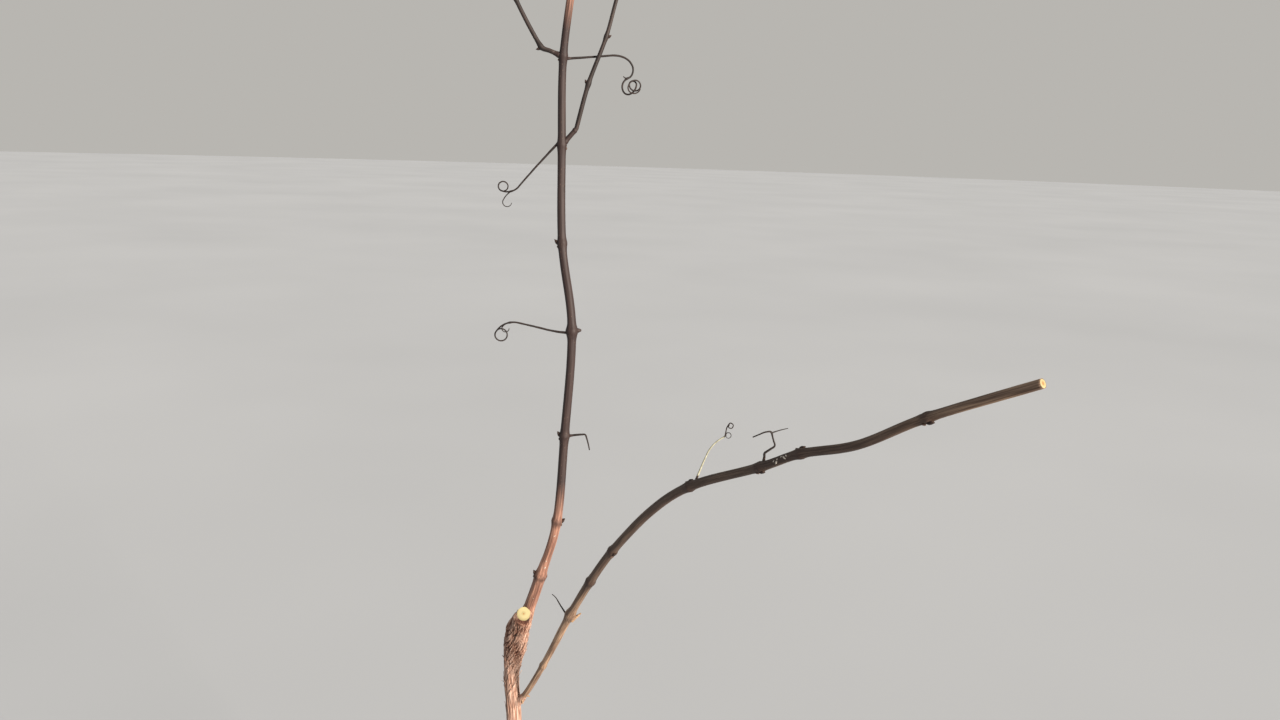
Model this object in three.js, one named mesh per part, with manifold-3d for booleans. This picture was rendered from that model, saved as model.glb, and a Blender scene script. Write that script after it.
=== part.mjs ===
// A young grapevine in winter: a trunk, one upright cane, one cane bent along the row, and the bare side
// shoots and tendrils that they carry. Millimetres. +Z is up, the ground is at zero under the trunk, and +X
// runs along the row, the way the bent cane is laid.
import * as THREE from "three";
import { mergeVertices } from "three/addons/utils/BufferGeometryUtils.js";
import Module from "manifold-3d";

const wasm = await Module();
wasm.setup();

// Driving dimensions
const HEAD_HEIGHT = 764; // middle of the swollen head of the trunk
const TRUNK_RADIUS = 9.2; // at its waist, below the head
const TRUNK_FOOT_RADIUS = 13;
const HEAD_RADIUS = 14.5;
const HEAD_RISE = [690, 750]; // heights between which the trunk swells to its head
const ROOT_FLARE_RADIUS = 27;
const ROOT_FLARE_HEIGHT = 70;
const ROOT_FLARE_SHARPNESS = 2.4; // how fast the flare dies away upward
const FLARE_RINGS = [0, 12, 18, 28, 42, 60]; // distances along the trunk's line
const SHOULDER_HEIGHT = 13; // of the blunt top of the head
// Radii of the canes, as [distance along the cane, radius]
const UPRIGHT_RADII = [[0, 7.6], [95, 7], [135, 5.4], [420, 5], [930, 4]];
const ARCHED_RADII = [
  [0, 5.2], [28, 3.7], [110, 3.9], [190, 4.5], [300, 4.7], [560, 4.4], [660, 4], [930, 3.5],
];
const COLLAR_SWELL = 1.18; // a cane's collar is this much thicker than the cane
const TIP_RADIUS = 1.2;
const GAP = 0.3; // between a limb and what it carries
const STUMP_STANDS_OUT = 3; // of its limb's swollen wood
const STUMP_RADII = [1.35, 1.15]; // at its root and its end, against what it carries
const TENDRIL_RADIUS = 1.3;
const TENDRIL_TIP = 0.6; // share of that radius at its tip
const COIL_TURN = 200; // a tendril that has turned more degrees than this in all winds into a coil
const COIL_DRIFT = 3.2; // how far each full turn of a coil lies from the last
const BUD = { radius: 2.9, tip: 0.9, standsOut: 4.4, leansUp: 6 };
const NODE_SWELL = 0.28; // how much a cane thickens at a node
const NODE_SPREAD = 7; // how far that thickening reaches along the cane

// Middle lines, as [along the row, across it, height], one point for each node of the wood. The trunk's line
// starts just below the flat cut at the ground, and each cane's inside the trunk.
const TRUNK_LINE = [
  [0.5, 0, -10],
  [-7, 5, 140],
  [-11, 7, 330],
  [-5, 3, 500],
  [-1, 1, 620],
  [-5, -1, 695],
  [5, 1, HEAD_HEIGHT],
];
const UPRIGHT_LINE = [
  [3, 5, 758],
  [17, 11, 796],
  [43, 9, 849],
  [74, 10, 930],
  [80, 15, 1038],
  [91, 15, 1168],
  [66, 18, 1266],
  [60, 20, 1377],
  [59, 21, 1474],
  [77, 22, 1576],
  [84, 24, 1682],
];
const UPRIGHT_COLLAR = 50; // length of the collar, from the line's start in the trunk
const UPRIGHT_BENDS = [1]; // points that shape a cane and are no nodes
const ARCHED_LINE = [
  [-2, 0, 654],
  [14, 6, 671],
  [60, 2, 735],
  [135, -14, 839],
  [177, -19, 897],
  [221, -25, 950],
  [287, -33, 1016],
  [350, -40, 1063],
  [444, -48, 1109],
  [491, -52, 1134],
  [550, -56, 1157],
  [610, -58, 1193],
  [695, -60, 1236],
];
const ARCHED_COLLAR = 30;
const ARCHED_BENDS = [1, 6, 10];
const ARCHED_SPLITS = [5, 8]; // the nodes where the bent cane is divided

// Leaves, and so buds and shoots, stood in two ranks: to this side of the upright cane and to the other
const SIDE = [0.66, 0.75, 0];
const rank = (side, up) => [SIDE[0] * side, SIDE[1] * side, up];

// The pale disc where the old top was sawn off
const SAWN_FACE = { radius: 9, centre: [24, -3, 793], facing: [0.76, -0.5, 0.42] };

// Each stretch of a tendril is [length, how many degrees it turns down]
const UPRIGHT_TENDRILS = {
  tendril_low_right: {
    node: 4,
    heading: rank(0.98, 0.17),
    stretches: [[14, 6], [4, 75], [17, 8]],
  },
  tendril_middle_left: {
    node: 5,
    beyond: -3,
    heading: rank(-1, 0.05),
    stretches: [[22, -10], [33, 2], [30, 70], [40, 330]],
  },
  tendril_upper_left: {
    node: 7,
    beyond: 7,
    heading: rank(-0.68, -0.73),
    stretches: [[62, 3], [22, -70], [30, -320]],
  },
  tendril_coiled: {
    node: 8,
    beyond: -2,
    heading: [0.53, 0.85, 0.1], // a little away from the side shoot that it passes
    stretches: [
      [47, -1], [12, 20], [9, 24], [7, 26], [10, 50], [6, 42],
      [8, -38], [10, -55], [9, -85], [13, -65], [7, -95], [7, -95],
      [12, -105], [8, -85], [8, -75], [12, -80], [10, -90], [9, -70],
    ],
  },
  tendril_high_left: {
    node: 9,
    heading: rank(-0.9, 0.35),
    stretches: [[60, 25], [32, 100], [70, 520]],
  },
};
const ARCHED_TENDRILS = {
  tendril_bend_low: {
    node: 3,
    beyond: -8,
    radius: 0.9,
    heading: rank(-0.54, 0.84),
    stretches: [[18, -4], [8, 25]],
  },
  tendril_bend_curled: {
    node: 7,
    beyond: 8,
    radius: 0.9,
    heading: rank(0.31, 0.95),
    stretches: [[24, 4], [22, 37], [3, -54], [6, 5], [6, 30], [13, 330]],
  },
  tendril_bend_crooked: {
    node: 8,
    beyond: 4,
    radius: 1,
    heading: rank(0.1, 0.99),
    stretches: [[2, -17], [3, 64], [8, 1], [4, -74], [9, 5], [4, -75], [6, -25], [8, 0]],
  },
};
const SIDE_SHOOTS = {
  side_shoot_right: {
    node: 7,
    heading: rank(0.65, 0.76),
    standsOut: 16,
    turnsTo: rank(0.27, 0.96),
    first: 56,
    length: 430,
    climb: 0.1,
    hand: -1,
    seed: 11,
  },
  side_shoot_left: {
    node: 8,
    heading: rank(-0.92, 0.38),
    first: 17,
    length: 360,
    climb: 2.2,
    hand: -1,
    seed: 23,
  },
  side_shoot_top: { node: 9, heading: rank(0.72, 0.6), first: 28, length: 320, climb: 0.7, seed: 37 },
};
const LEADER = { first: 60, length: 585, internode: 84, bareNodes: 0, climb: 0.02, seed: 53 };
const SHOOT_RADIUS = 2.9;
const SHOOT_INTERNODE = 57;
const SHOOT_BARE_NODES = 3; // the first nodes of a side shoot carry no tendril

// The rule by which the shoots branch
const STEP_SHARES = [0.92, 1.08]; // shortest and longest step between nodes, against the usual one
const ZIGZAG = 0.09; // how far the stem turns away from each node's bud
const WANDER = 0.1; // how far it strays out of the plane of its buds
const TWIG_CHANCE = 0.4; // share of the nodes whose bud has grown into a twig
const TWIG_REACH = [50, 105];
const TWIG_SPREAD = 1.1; // how far a twig leans out, for a length of one along the stem
const TWIG_RISE = 0.25; // how far its tip climbs beyond that, as a share of its reach
const TWIG_BOW = 0.06;
const TWIG_RADII = [0.6, 0.42]; // at its root and its tip, against the stem
const SHOOT_TENDRIL_REACH = [25, 60];
const SHOOT_TENDRIL_HOOK = [[24, 110], [32, 330]];
const SHOOT_TENDRIL_LEAN = 0.45; // how far it leans up the stem, for one outward
const SHOOT_TENDRIL_RADIUS = 1.1;
const CLEARANCE = 14; // a twig nearer than this to another limb is left out
const SPACE = 120; // how far a shoot's own twigs may reach from its stem

// Short stumps that carry nothing: old spur scars and rubbed-off shoots
const UPRIGHT_STUMPS = [{ node: 5, heading: rank(0.98, 0.05), standsOut: 3, radius: 2.6 }];
const ARCHED_STUMPS = [
  { node: 1, beyond: 10, heading: [0.6, 0.6, -0.35], standsOut: 3, radius: 1.8 },
  { node: 3, beyond: -6, heading: [0.57, 0.64, 0.5], standsOut: 8, radius: 1.8 },
];

const vector = (xyz) => new THREE.Vector3(...xyz);
const UP = new THREE.Vector3(0, 0, 1);
const clamp = (t) => Math.min(1, Math.max(0, t));
const between = (a, b, t) => a + (b - a) * clamp(t);
const smooth = (t) => clamp(t) ** 2 * (3 - 2 * clamp(t));
const square = (one, other) => one.clone().addScaledVector(other, -one.dot(other)).normalize();

// The same sequence of numbers from 0 to 1 for the same seed
function seededRandom(seed) {
  let state = seed >>> 0;
  return () => {
    state = (Math.imul(state, 1664525) + 1013904223) >>> 0;
    return state / 4294967296;
  };
}

// Closed geometry as a solid, and back
function solidOf(geometry) {
  const bare = geometry.clone();
  bare.deleteAttribute("normal");
  bare.deleteAttribute("uv");
  const merged = mergeVertices(bare, 1e-4);
  const vertProperties = merged.getAttribute("position").array;
  const triVerts = new Uint32Array(merged.index.array);
  return new wasm.Manifold(new wasm.Mesh({ numProp: 3, vertProperties, triVerts }));
}

function geometryOf(solid) {
  const mesh = solid.getMesh();
  const geometry = new THREE.BufferGeometry();
  geometry.setAttribute("position", new THREE.BufferAttribute(mesh.vertProperties, 3));
  geometry.setIndex(new THREE.BufferAttribute(mesh.triVerts, 1));
  geometry.computeVertexNormals();
  return geometry;
}

const fuse = (solids) => solids.reduce((all, one) => all.add(one));

// The part of a solid that lies behind a point, seen the way of a direction
const cutAfter = (solid, point, direction) =>
  solid.trimByPlane(direction.clone().negate().toArray(), -point.dot(direction));

// A line through points, which knows its length and where its points are along it
function lineThrough(points, stepsEach = 16) {
  const curve = new THREE.CatmullRomCurve3(points, false, "catmullrom", 0.5);
  const samples = curve.getPoints((points.length - 1) * stepsEach);
  const lengths = [0];
  for (let i = 1; i < samples.length; i++) {
    lengths.push(lengths[i - 1] + samples[i].distanceTo(samples[i - 1]));
  }
  const total = lengths.at(-1);
  const at = (distance) => {
    const d = Math.min(total, Math.max(0, distance));
    let i = 1;
    while (i < lengths.length - 1 && lengths[i] < d) i++;
    return samples[i - 1].clone().lerp(samples[i], (d - lengths[i - 1]) / (lengths[i] - lengths[i - 1]));
  };
  const direction = (distance) => at(distance + 1).sub(at(distance - 1)).normalize();
  const nodeDistance = (index) => lengths[index * stepsEach];
  return { at, direction, nodeDistance, total, samples };
}

// A tube with closed ends: a cylinder whose rings are moved onto a line, one at each station
function limb(line, stations, radiusAt, sides) {
  const rings = stations.length - 1;
  const geometry = new THREE.CylinderGeometry(1, 1, rings, sides, rings);
  const first = line.direction(stations[0]);
  let across = new THREE.Vector3(Math.abs(first.y) > 0.9 ? 1 : 0, Math.abs(first.y) > 0.9 ? 0 : 1, 0);
  const frames = stations.map((distance) => {
    const along = line.direction(distance);
    across = square(across, along);
    return { at: line.at(distance), across, over: across.clone().cross(along), radius: radiusAt(distance) };
  });
  const position = geometry.getAttribute("position");
  for (let i = 0; i < position.count; i++) {
    const frame = frames[Math.round(position.getY(i) + rings / 2)];
    const place = frame.at
      .clone()
      .addScaledVector(frame.across, position.getX(i) * frame.radius)
      .addScaledVector(frame.over, position.getZ(i) * frame.radius);
    position.setXYZ(i, place.x, place.y, place.z);
  }
  return solidOf(geometry);
}

// Distances along a limb where its rings stand: close together at the nodes, wide apart between them
function stationsFor(from, to, nodes, spacing) {
  const offsets = [-1, -1 / 3, 1 / 3, 1].map((share) => share * NODE_SPREAD);
  const least = 2; // from a ring at a node to the limb's end
  const marks = nodes.flatMap((node) => offsets.map((offset) => node + offset));
  const inside = marks.filter((m) => m > from + least && m < to - least).sort((a, b) => a - b);
  const stations = [from];
  for (const mark of [...inside, to]) {
    const last = stations.at(-1);
    const pieces = Math.ceil((mark - last) / spacing);
    for (let i = 1; i <= pieces; i++) stations.push(last + ((mark - last) * i) / pieces);
  }
  return stations;
}

// How much thicker the wood is here for the nodes near by
const swollen = (distance, nodes) =>
  1 + NODE_SWELL * Math.max(0, ...nodes.map((node) => Math.exp(-(((distance - node) / NODE_SPREAD) ** 2))));

// A straight tapered piece from one point to another
function taper(from, to, radiusFrom, radiusTo, sides) {
  const geometry = new THREE.CylinderGeometry(radiusTo, radiusFrom, from.distanceTo(to), sides);
  const along = to.clone().sub(from).normalize();
  geometry.applyQuaternion(new THREE.Quaternion().setFromUnitVectors(new THREE.Vector3(0, 1, 0), along));
  geometry.translate(...from.clone().lerp(to, 0.5).toArray());
  return solidOf(geometry);
}

// A winter bud: a short cone that leans up the cane, its root sunk in the wood
function bud(at, along, outward, woodRadius, scale = 1) {
  const root = at.clone().addScaledVector(outward, woodRadius * 0.3);
  const tip = at
    .clone()
    .addScaledVector(outward, woodRadius + BUD.standsOut * scale)
    .addScaledVector(along, BUD.leansUp * scale);
  return taper(root, tip, BUD.radius * scale, BUD.tip * scale, 5);
}

// Buds stand alternately on two sides of a cane, save at the nodes whose bud has grown out
function budsOn(cane, across, grownOut) {
  return cane.nodes.flatMap((node, i) => {
    if (grownOut.includes(node)) return [];
    const along = cane.line.direction(node);
    const outward = square(across, along).multiplyScalar(i % 2 ? -1 : 1);
    return [bud(cane.line.at(node), along, outward, cane.radiusAt(node))];
  });
}

// A stump on a cane, long enough for what it carries to start clear of the cane, with the point where that
// starts
function stump(cane, { node, beyond = 0, heading, standsOut = STUMP_STANDS_OUT, radius = TENDRIL_RADIUS }) {
  const distance = cane.line.nodeDistance(node) + beyond;
  const root = cane.line.at(distance);
  const direction = vector(heading).normalize();
  const wood = cane.radiusAt(distance) * (1 + NODE_SWELL);
  const [rootRadius, endRadius] = STUMP_RADII.map((share) => share * radius);
  const slant = direction.clone().cross(cane.line.direction(distance)).length();
  const length = Math.max(wood + standsOut, (wood + rootRadius + 1) / slant);
  const end = root.clone().addScaledVector(direction, length);
  const solid = taper(root, end, rootRadius, endRadius, 8);
  return { solid, direction, start: end.clone().addScaledVector(direction, GAP) };
}

// A tendril's line: stretches of even bend in the upright plane of its heading, and coils that drift out of
// that plane
function tendrilLine(start, heading, stretches) {
  const step = 3;
  const level = square(heading, UP);
  const drift = level.clone().cross(UP);
  const points = [start.clone()];
  let angle = Math.asin(heading.z);
  let wound = 0;
  let place = start.clone();
  for (const [length, turn] of stretches) {
    const steps = Math.max(2, Math.round(length / step));
    wound += Math.abs(turn);
    const sideways = wound > COIL_TURN ? (COIL_DRIFT * Math.abs(turn)) / 360 / steps : 0;
    for (let i = 0; i < steps; i++) {
      angle -= THREE.MathUtils.degToRad(turn / steps);
      place = place
        .clone()
        .addScaledVector(level, (Math.cos(angle) * length) / steps)
        .addScaledVector(UP, (Math.sin(angle) * length) / steps)
        .addScaledVector(drift, sideways);
      points.push(place);
    }
  }
  return lineThrough(points, 2);
}

function tendril({ start, direction, stretches, radius = TENDRIL_RADIUS, sides = 5, spacing = 4.5 }) {
  const line = tendrilLine(start, direction, stretches);
  const radiusAt = (d) => between(radius, radius * TENDRIL_TIP, d / line.total);
  return limb(line, stationsFor(0, line.total, [], spacing), radiusAt, sides);
}

// A side shoot's stem by a seeded rule: it leaves its stump squarely, its nodes stand alternately to two
// sides, and it turns upward, most at its first nodes
function planShoot(settings) {
  const { start, direction, turnsTo, first, length, climb, radius, seed } = settings;
  const { internode = SHOOT_INTERNODE, bareNodes = SHOOT_BARE_NODES, hand = 1 } = settings;
  const random = seededRandom(seed);
  const count = Math.round((length - first) / internode) + 1;
  const sideways = square(vector(SIDE), UP);
  const straight = turnsTo ? SHOOT_RADIUS : first * 0.3;
  const points = [start, start.clone().addScaledVector(direction, straight)];
  const nodes = [];
  let along = turnsTo ? vector(turnsTo).normalize() : direction.clone();
  let at = start;
  for (let k = 1; k <= count; k++) {
    const side = k % 2 ? hand : -hand;
    const usual = k === 1 ? first : (length - first) / (count - 1);
    const step = usual * between(...STEP_SHARES, random());
    at = at.clone().addScaledVector(along, step);
    points.push(at);
    const outward = square(sideways, along).multiplyScalar(side);
    nodes.push({ at, along, outward, index: k, chance: random(), size: random() });
    along = along
      .clone()
      .addScaledVector(UP, climb * 0.5 ** k)
      .addScaledVector(outward, -ZIGZAG)
      .addScaledVector(along.clone().cross(outward), between(-WANDER, WANDER, random()))
      .normalize();
  }
  return { line: lineThrough(points, 8), nodes, radius, bareNodes };
}

// How near a point comes to any of some lines
function nearest(point, lines) {
  return Math.min(...lines.flatMap(({ samples }) => samples.map((sample) => sample.distanceTo(point))));
}

// Whether a line that starts at a shoot's node stays clear of the other limbs
function keepsClear(line, others) {
  const beyondNode = line.samples.filter((point) => point.distanceTo(line.samples[0]) > CLEARANCE);
  return beyondNode.every((point) => nearest(point, others) > CLEARANCE);
}

// A twig from a node of a shoot, or nothing where it would touch another limb or leave the shoot's space
function sideTwig(node, woodRadius, stem, others) {
  const reach = between(...TWIG_REACH, node.size);
  const heading = node.along.clone().addScaledVector(node.outward, TWIG_SPREAD).normalize();
  const tip = node.at.clone().addScaledVector(heading, reach).addScaledVector(UP, reach * TWIG_RISE);
  const middle = node.at.clone().lerp(tip, 0.5).addScaledVector(node.outward, reach * TWIG_BOW);
  const line = lineThrough([node.at, middle, tip], 8);
  const within = line.samples.every((point) => nearest(point, [stem]) < SPACE);
  if (!within || !keepsClear(line, others)) return [];
  const knuckle = [line.nodeDistance(1)];
  const [root, end] = TWIG_RADII.map((share) => share * Math.max(TIP_RADIUS * 1.5, woodRadius));
  const radiusAt = (d) => between(root, end, d / line.total) * swollen(d, knuckle);
  return [limb(line, stationsFor(0, line.total, knuckle, 40), radiusAt, 5)];
}

// A thin tendril from a node of a shoot, on the side away from its bud
function sideTendril(node, woodRadius, others) {
  const away = node.outward.clone().negate();
  const direction = away.addScaledVector(node.along, SHOOT_TENDRIL_LEAN).normalize();
  const hand = node.chance < 0.5 ? 1 : -1;
  const straight = [between(...SHOOT_TENDRIL_REACH, node.size), 20];
  const stretches = [straight, ...SHOOT_TENDRIL_HOOK].map(([length, turn]) => [length, turn * hand]);
  if (!keepsClear(tendrilLine(node.at, direction, stretches), others)) return [];
  const radius = Math.min(SHOOT_TENDRIL_RADIUS, woodRadius * 0.7);
  return [tendril({ start: node.at, direction, stretches, radius, sides: 4, spacing: 7 })];
}

// A side shoot as one solid: its stem, and at each node a twig or a bud, with a tendril at two nodes of three
function sideShoot({ line, nodes, radius, bareNodes }, others) {
  const carrying = nodes.slice(0, -1);
  const distances = carrying.map((_, i) => line.nodeDistance(i + 2));
  const radiusAt = (d) => between(radius, TIP_RADIUS, d / line.total);
  const stations = stationsFor(0, line.total, distances, 60);
  const stem = limb(line, stations, (d) => radiusAt(d) * swollen(d, distances), 6);
  const carried = carrying.flatMap((node, i) => {
    const wood = radiusAt(distances[i]);
    const grows = node.chance < TWIG_CHANCE && node.index > 1;
    const twigs = grows ? sideTwig(node, wood, line, others) : [];
    const buds = twigs.length ? [] : [bud(node.at, node.along, node.outward, wood, Math.max(0.6, wood / 4))];
    const holds = node.index > bareNodes && node.index % 3;
    const tendrils = holds ? sideTendril(node, wood, others) : [];
    return [...twigs, ...buds, ...tendrils];
  });
  return fuse([stem, ...carried]);
}

// The three main limbs as middle lines with a thickness and nodes
const trunkLine = lineThrough(TRUNK_LINE.map(vector));

function caneAlong(points, bends, radii, collar) {
  const line = lineThrough(points.map(vector));
  const numbers = points.map((_, i) => i).slice(1, -1);
  const nodes = numbers.filter((i) => !bends.includes(i)).map(line.nodeDistance);
  const radiusAt = (d) => {
    const i = Math.max(1, radii.findIndex(([distance]) => distance >= d));
    const [[from, thick], [to, thin]] = d > radii.at(-1)[0] ? radii.slice(-2) : radii.slice(i - 1, i + 1);
    return between(thick, thin, (d - from) / (to - from));
  };
  const collarRadius = (d) => radiusAt(d) * between(COLLAR_SWELL * 1.3, COLLAR_SWELL, d / collar);
  return { line, nodes, collar, collarRadius, radiusAt };
}

const uprightCane = caneAlong(UPRIGHT_LINE, UPRIGHT_BENDS, UPRIGHT_RADII, UPRIGHT_COLLAR);
const archedCane = caneAlong(ARCHED_LINE, ARCHED_BENDS, ARCHED_RADII, ARCHED_COLLAR);

// The trunk: flared at the ground, slim below the head, and swollen at the head, which ends in the slanting
// saw cut. The two canes leave it from short collars.
function makeTrunk() {
  const radiusAt = (d) => {
    const height = trunkLine.at(d).z;
    const shaft = between(TRUNK_FOOT_RADIUS, TRUNK_RADIUS, height / HEAD_RISE[0]);
    const near = clamp(1 - height / ROOT_FLARE_HEIGHT);
    const flare = (ROOT_FLARE_RADIUS - shaft) * near ** ROOT_FLARE_SHARPNESS;
    const [from, to] = HEAD_RISE;
    return shaft + flare + (HEAD_RADIUS - TRUNK_RADIUS) * smooth((height - from) / (to - from));
  };
  const high = stationsFor(ROOT_FLARE_HEIGHT + 10, HEAD_RISE[0], [], 44);
  const top = stationsFor(HEAD_RISE[0], trunkLine.total, [], 12).slice(1);
  const head = vector(TRUNK_LINE.at(-1));
  const face = vector(SAWN_FACE.centre);
  const facing = vector(SAWN_FACE.facing).normalize();
  const beyond = face.clone().lerp(head, -0.5);
  const sawn = cutAfter(taper(head, beyond, HEAD_RADIUS, SAWN_FACE.radius * 0.85, 16), face, facing);
  const collars = [uprightCane, archedCane].map(({ line, collar, collarRadius }) =>
    limb(line, stationsFor(0, collar - GAP, [], 8), collarRadius, 12),
  );
  const crest = head.clone().addScaledVector(UP, SHOULDER_HEIGHT);
  const shoulder = taper(head, crest, HEAD_RADIUS, HEAD_RADIUS * 0.6, 14);
  const shaft = limb(trunkLine, [...FLARE_RINGS, ...high, ...top], radiusAt, 14);
  const ground = new THREE.Vector3();
  return cutAfter(fuse([shaft, shoulder, sawn, ...collars]), ground, UP.clone().negate());
}

// A length of a cane, with the stumps and buds that stand on it cut off square at its ends
function caneLength(cane, from, to, extras, sides) {
  const stations = stationsFor(from, to, cane.nodes, 36);
  const wood = limb(cane.line, stations, (d) => cane.radiusAt(d) * swollen(d, cane.nodes), sides);
  const lower = { point: cane.line.at(from), way: cane.line.direction(from).negate() };
  const upper = { point: cane.line.at(to), way: cane.line.direction(to) };
  const own = extras.filter((extra) => {
    const { min, max } = extra.boundingBox();
    const middle = vector(min).lerp(vector(max), 0.5);
    return [lower, upper].every(({ point, way }) => middle.clone().sub(point).dot(way) < 0);
  });
  const trim = (solid, { point, way }) => cutAfter(solid, point, way);
  return fuse([wood, ...own.map((extra) => trim(trim(extra, lower), upper))]);
}

const materials = {
  bark: new THREE.MeshStandardMaterial({ color: 0x7d5442, roughness: 0.95, metalness: 0 }),
  cane: new THREE.MeshStandardMaterial({ color: 0x6b4a38, roughness: 0.7, metalness: 0 }),
  shoot: new THREE.MeshStandardMaterial({ color: 0x7a5644, roughness: 0.75, metalness: 0 }),
  tendril: new THREE.MeshStandardMaterial({ color: 0x4c382c, roughness: 0.8, metalness: 0 }),
};
const vine = new THREE.Group();
function add(name, solid, material) {
  const mesh = new THREE.Mesh(geometryOf(solid), material);
  mesh.name = name;
  vine.add(mesh);
}

add("trunk", makeTrunk(), materials.bark);

// What each cane carries, set on stumps of that cane
const carriedBy = (cane, things, radius = TENDRIL_RADIUS) =>
  Object.entries(things).map(([name, own]) => ({ radius, ...own, name, ...stump(cane, { radius, ...own }) }));
const uprightTendrils = carriedBy(uprightCane, UPRIGHT_TENDRILS);
const archedTendrils = carriedBy(archedCane, ARCHED_TENDRILS);
const sideShoots = carriedBy(uprightCane, SIDE_SHOOTS, SHOOT_RADIUS);
const uprightStumps = UPRIGHT_STUMPS.map((settings) => stump(uprightCane, settings));
const archedStumps = ARCHED_STUMPS.map((settings) => stump(archedCane, settings));
const grownOut = [...Object.values(SIDE_SHOOTS), ...UPRIGHT_STUMPS].map(({ node }) =>
  uprightCane.line.nodeDistance(node),
);

const uprightTop = uprightCane.line.total;
const uprightBuds = budsOn(uprightCane, vector(SIDE).negate(), grownOut);
const uprightBases = [...uprightTendrils, ...sideShoots, ...uprightStumps].map(({ solid }) => solid);
const uprightWood = [...uprightBases, ...uprightBuds];
add("upright_cane", caneLength(uprightCane, UPRIGHT_COLLAR, uprightTop, uprightWood, 10), materials.cane);

// The bent cane is one limb in three lengths, divided at nodes
const budless = [2, 3].map(archedCane.line.nodeDistance);
const archedBuds = budsOn(archedCane, new THREE.Vector3(-0.45, 0.3, 0.84), budless);
const archedBases = [...archedTendrils, ...archedStumps].map(({ solid }) => solid);
const archedWood = [...archedBases, ...archedBuds];
const archedEnds = [ARCHED_COLLAR, ...ARCHED_SPLITS.map(archedCane.line.nodeDistance), archedCane.line.total];
["arched_cane_rise", "arched_cane_bend", "arched_cane_reach"].forEach((name, i) => {
  const from = archedEnds[i] + (i ? GAP : 0);
  add(name, caneLength(archedCane, from, archedEnds[i + 1], archedWood, 10), materials.cane);
});

for (const settings of [...uprightTendrils, ...archedTendrils]) {
  add(settings.name, tendril(settings), materials.tendril);
}

const leader = {
  ...LEADER,
  name: "leader_tip",
  radius: uprightCane.radiusAt(uprightTop),
  direction: uprightCane.line.direction(uprightTop),
  start: uprightCane.line.at(uprightTop).addScaledVector(uprightCane.line.direction(uprightTop), GAP),
};
const plans = [...sideShoots, leader].map((settings) => ({ name: settings.name, ...planShoot(settings) }));
for (const plan of plans) {
  const otherStems = plans.filter((other) => other !== plan).map((other) => other.line);
  add(plan.name, sideShoot(plan, [uprightCane.line, archedCane.line, ...otherStems]), materials.shoot);
}

export default vine;
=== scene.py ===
# %% [markdown]
# A young grapevine in winter
#
# The plant is a slim trunk with a sawn head, a cane that stands up, a cane that is bent along the row, and
# the side shoots and tendrils that both carry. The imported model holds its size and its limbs. This file
# gives each limb its bark, nodes, buds and tendrils. The plant is drawn in millimetres, as a grower would
# measure it, and each finished mesh is brought to metres.

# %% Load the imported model
import bisect
import math
from itertools import accumulate

import bmesh
import bpy
from mathutils import Matrix, Vector, kdtree, noise
from mathutils.bvhtree import BVHTree
from mathutils.geometry import interpolate_bezier, intersect_point_line


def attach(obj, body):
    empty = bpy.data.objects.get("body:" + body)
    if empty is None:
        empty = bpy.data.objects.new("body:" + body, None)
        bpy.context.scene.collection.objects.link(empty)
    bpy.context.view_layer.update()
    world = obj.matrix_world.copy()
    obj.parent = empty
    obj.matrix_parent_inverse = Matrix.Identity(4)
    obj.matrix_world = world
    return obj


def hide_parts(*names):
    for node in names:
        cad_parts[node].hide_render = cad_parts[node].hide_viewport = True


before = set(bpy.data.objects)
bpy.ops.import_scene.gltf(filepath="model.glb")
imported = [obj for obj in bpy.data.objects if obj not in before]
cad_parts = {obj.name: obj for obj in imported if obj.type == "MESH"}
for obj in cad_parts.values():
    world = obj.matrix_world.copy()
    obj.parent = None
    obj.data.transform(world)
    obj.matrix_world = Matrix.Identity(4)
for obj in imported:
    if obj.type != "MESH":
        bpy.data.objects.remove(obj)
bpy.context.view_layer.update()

# %% [markdown]
# The camera
#
# The photo was taken standing, from about 1.3 m away, looking a little down at the vine and along its row.
# The place, heading, dip and roll come from lining up known sizes in the picture. A camera could be aimed
# by eye or by a constraint, but three angles keep it still, and later views have nothing to fight with.

# %% Camera
CAMERA_PLACE = Vector((1.003, -0.688, 1.382))
CAMERA_HEADING = math.radians(48.4)  # to the left of straight across the row
CAMERA_DIP = math.radians(12.1)
CAMERA_ROLL = math.radians(1.8)
FOCAL_PIXELS = 1010
IMAGE_WIDTH = 1280

scene = bpy.context.scene
camera = bpy.data.objects.new("camera", bpy.data.cameras.new("camera"))
scene.collection.objects.link(camera)
heading = Matrix.Rotation(CAMERA_HEADING, 4, "Z")
dip = Matrix.Rotation(math.pi / 2 - CAMERA_DIP, 4, "X")
roll = Matrix.Rotation(CAMERA_ROLL, 4, "Z")
camera.matrix_world = Matrix.Translation(CAMERA_PLACE) @ heading @ dip @ roll
camera.data.lens = camera.data.sensor_width * FOCAL_PIXELS / IMAGE_WIDTH
camera.data.clip_start = 0.01
scene.camera = camera
print("lens", round(camera.data.lens, 2), "mm")

# %% [markdown]
# Colours and nodes
#
# Colours are picked as the hex values that a screen shows, and a shader wants them in linear light, so one
# function turns them. A node graph could be clicked together or written call by call. One helper that adds
# a node with its settings and links keeps each material readable as a short recipe.


# %% Helpers for materials
def colour(hex_value):
    """Linear red, green, blue and alpha of an sRGB hex colour."""
    shares = [int(hex_value[i : i + 2], 16) / 255 for i in (1, 3, 5)]
    return [s / 12.92 if s <= 0.04045 else ((s + 0.055) / 1.055) ** 2.4 for s in shares] + [1]


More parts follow.
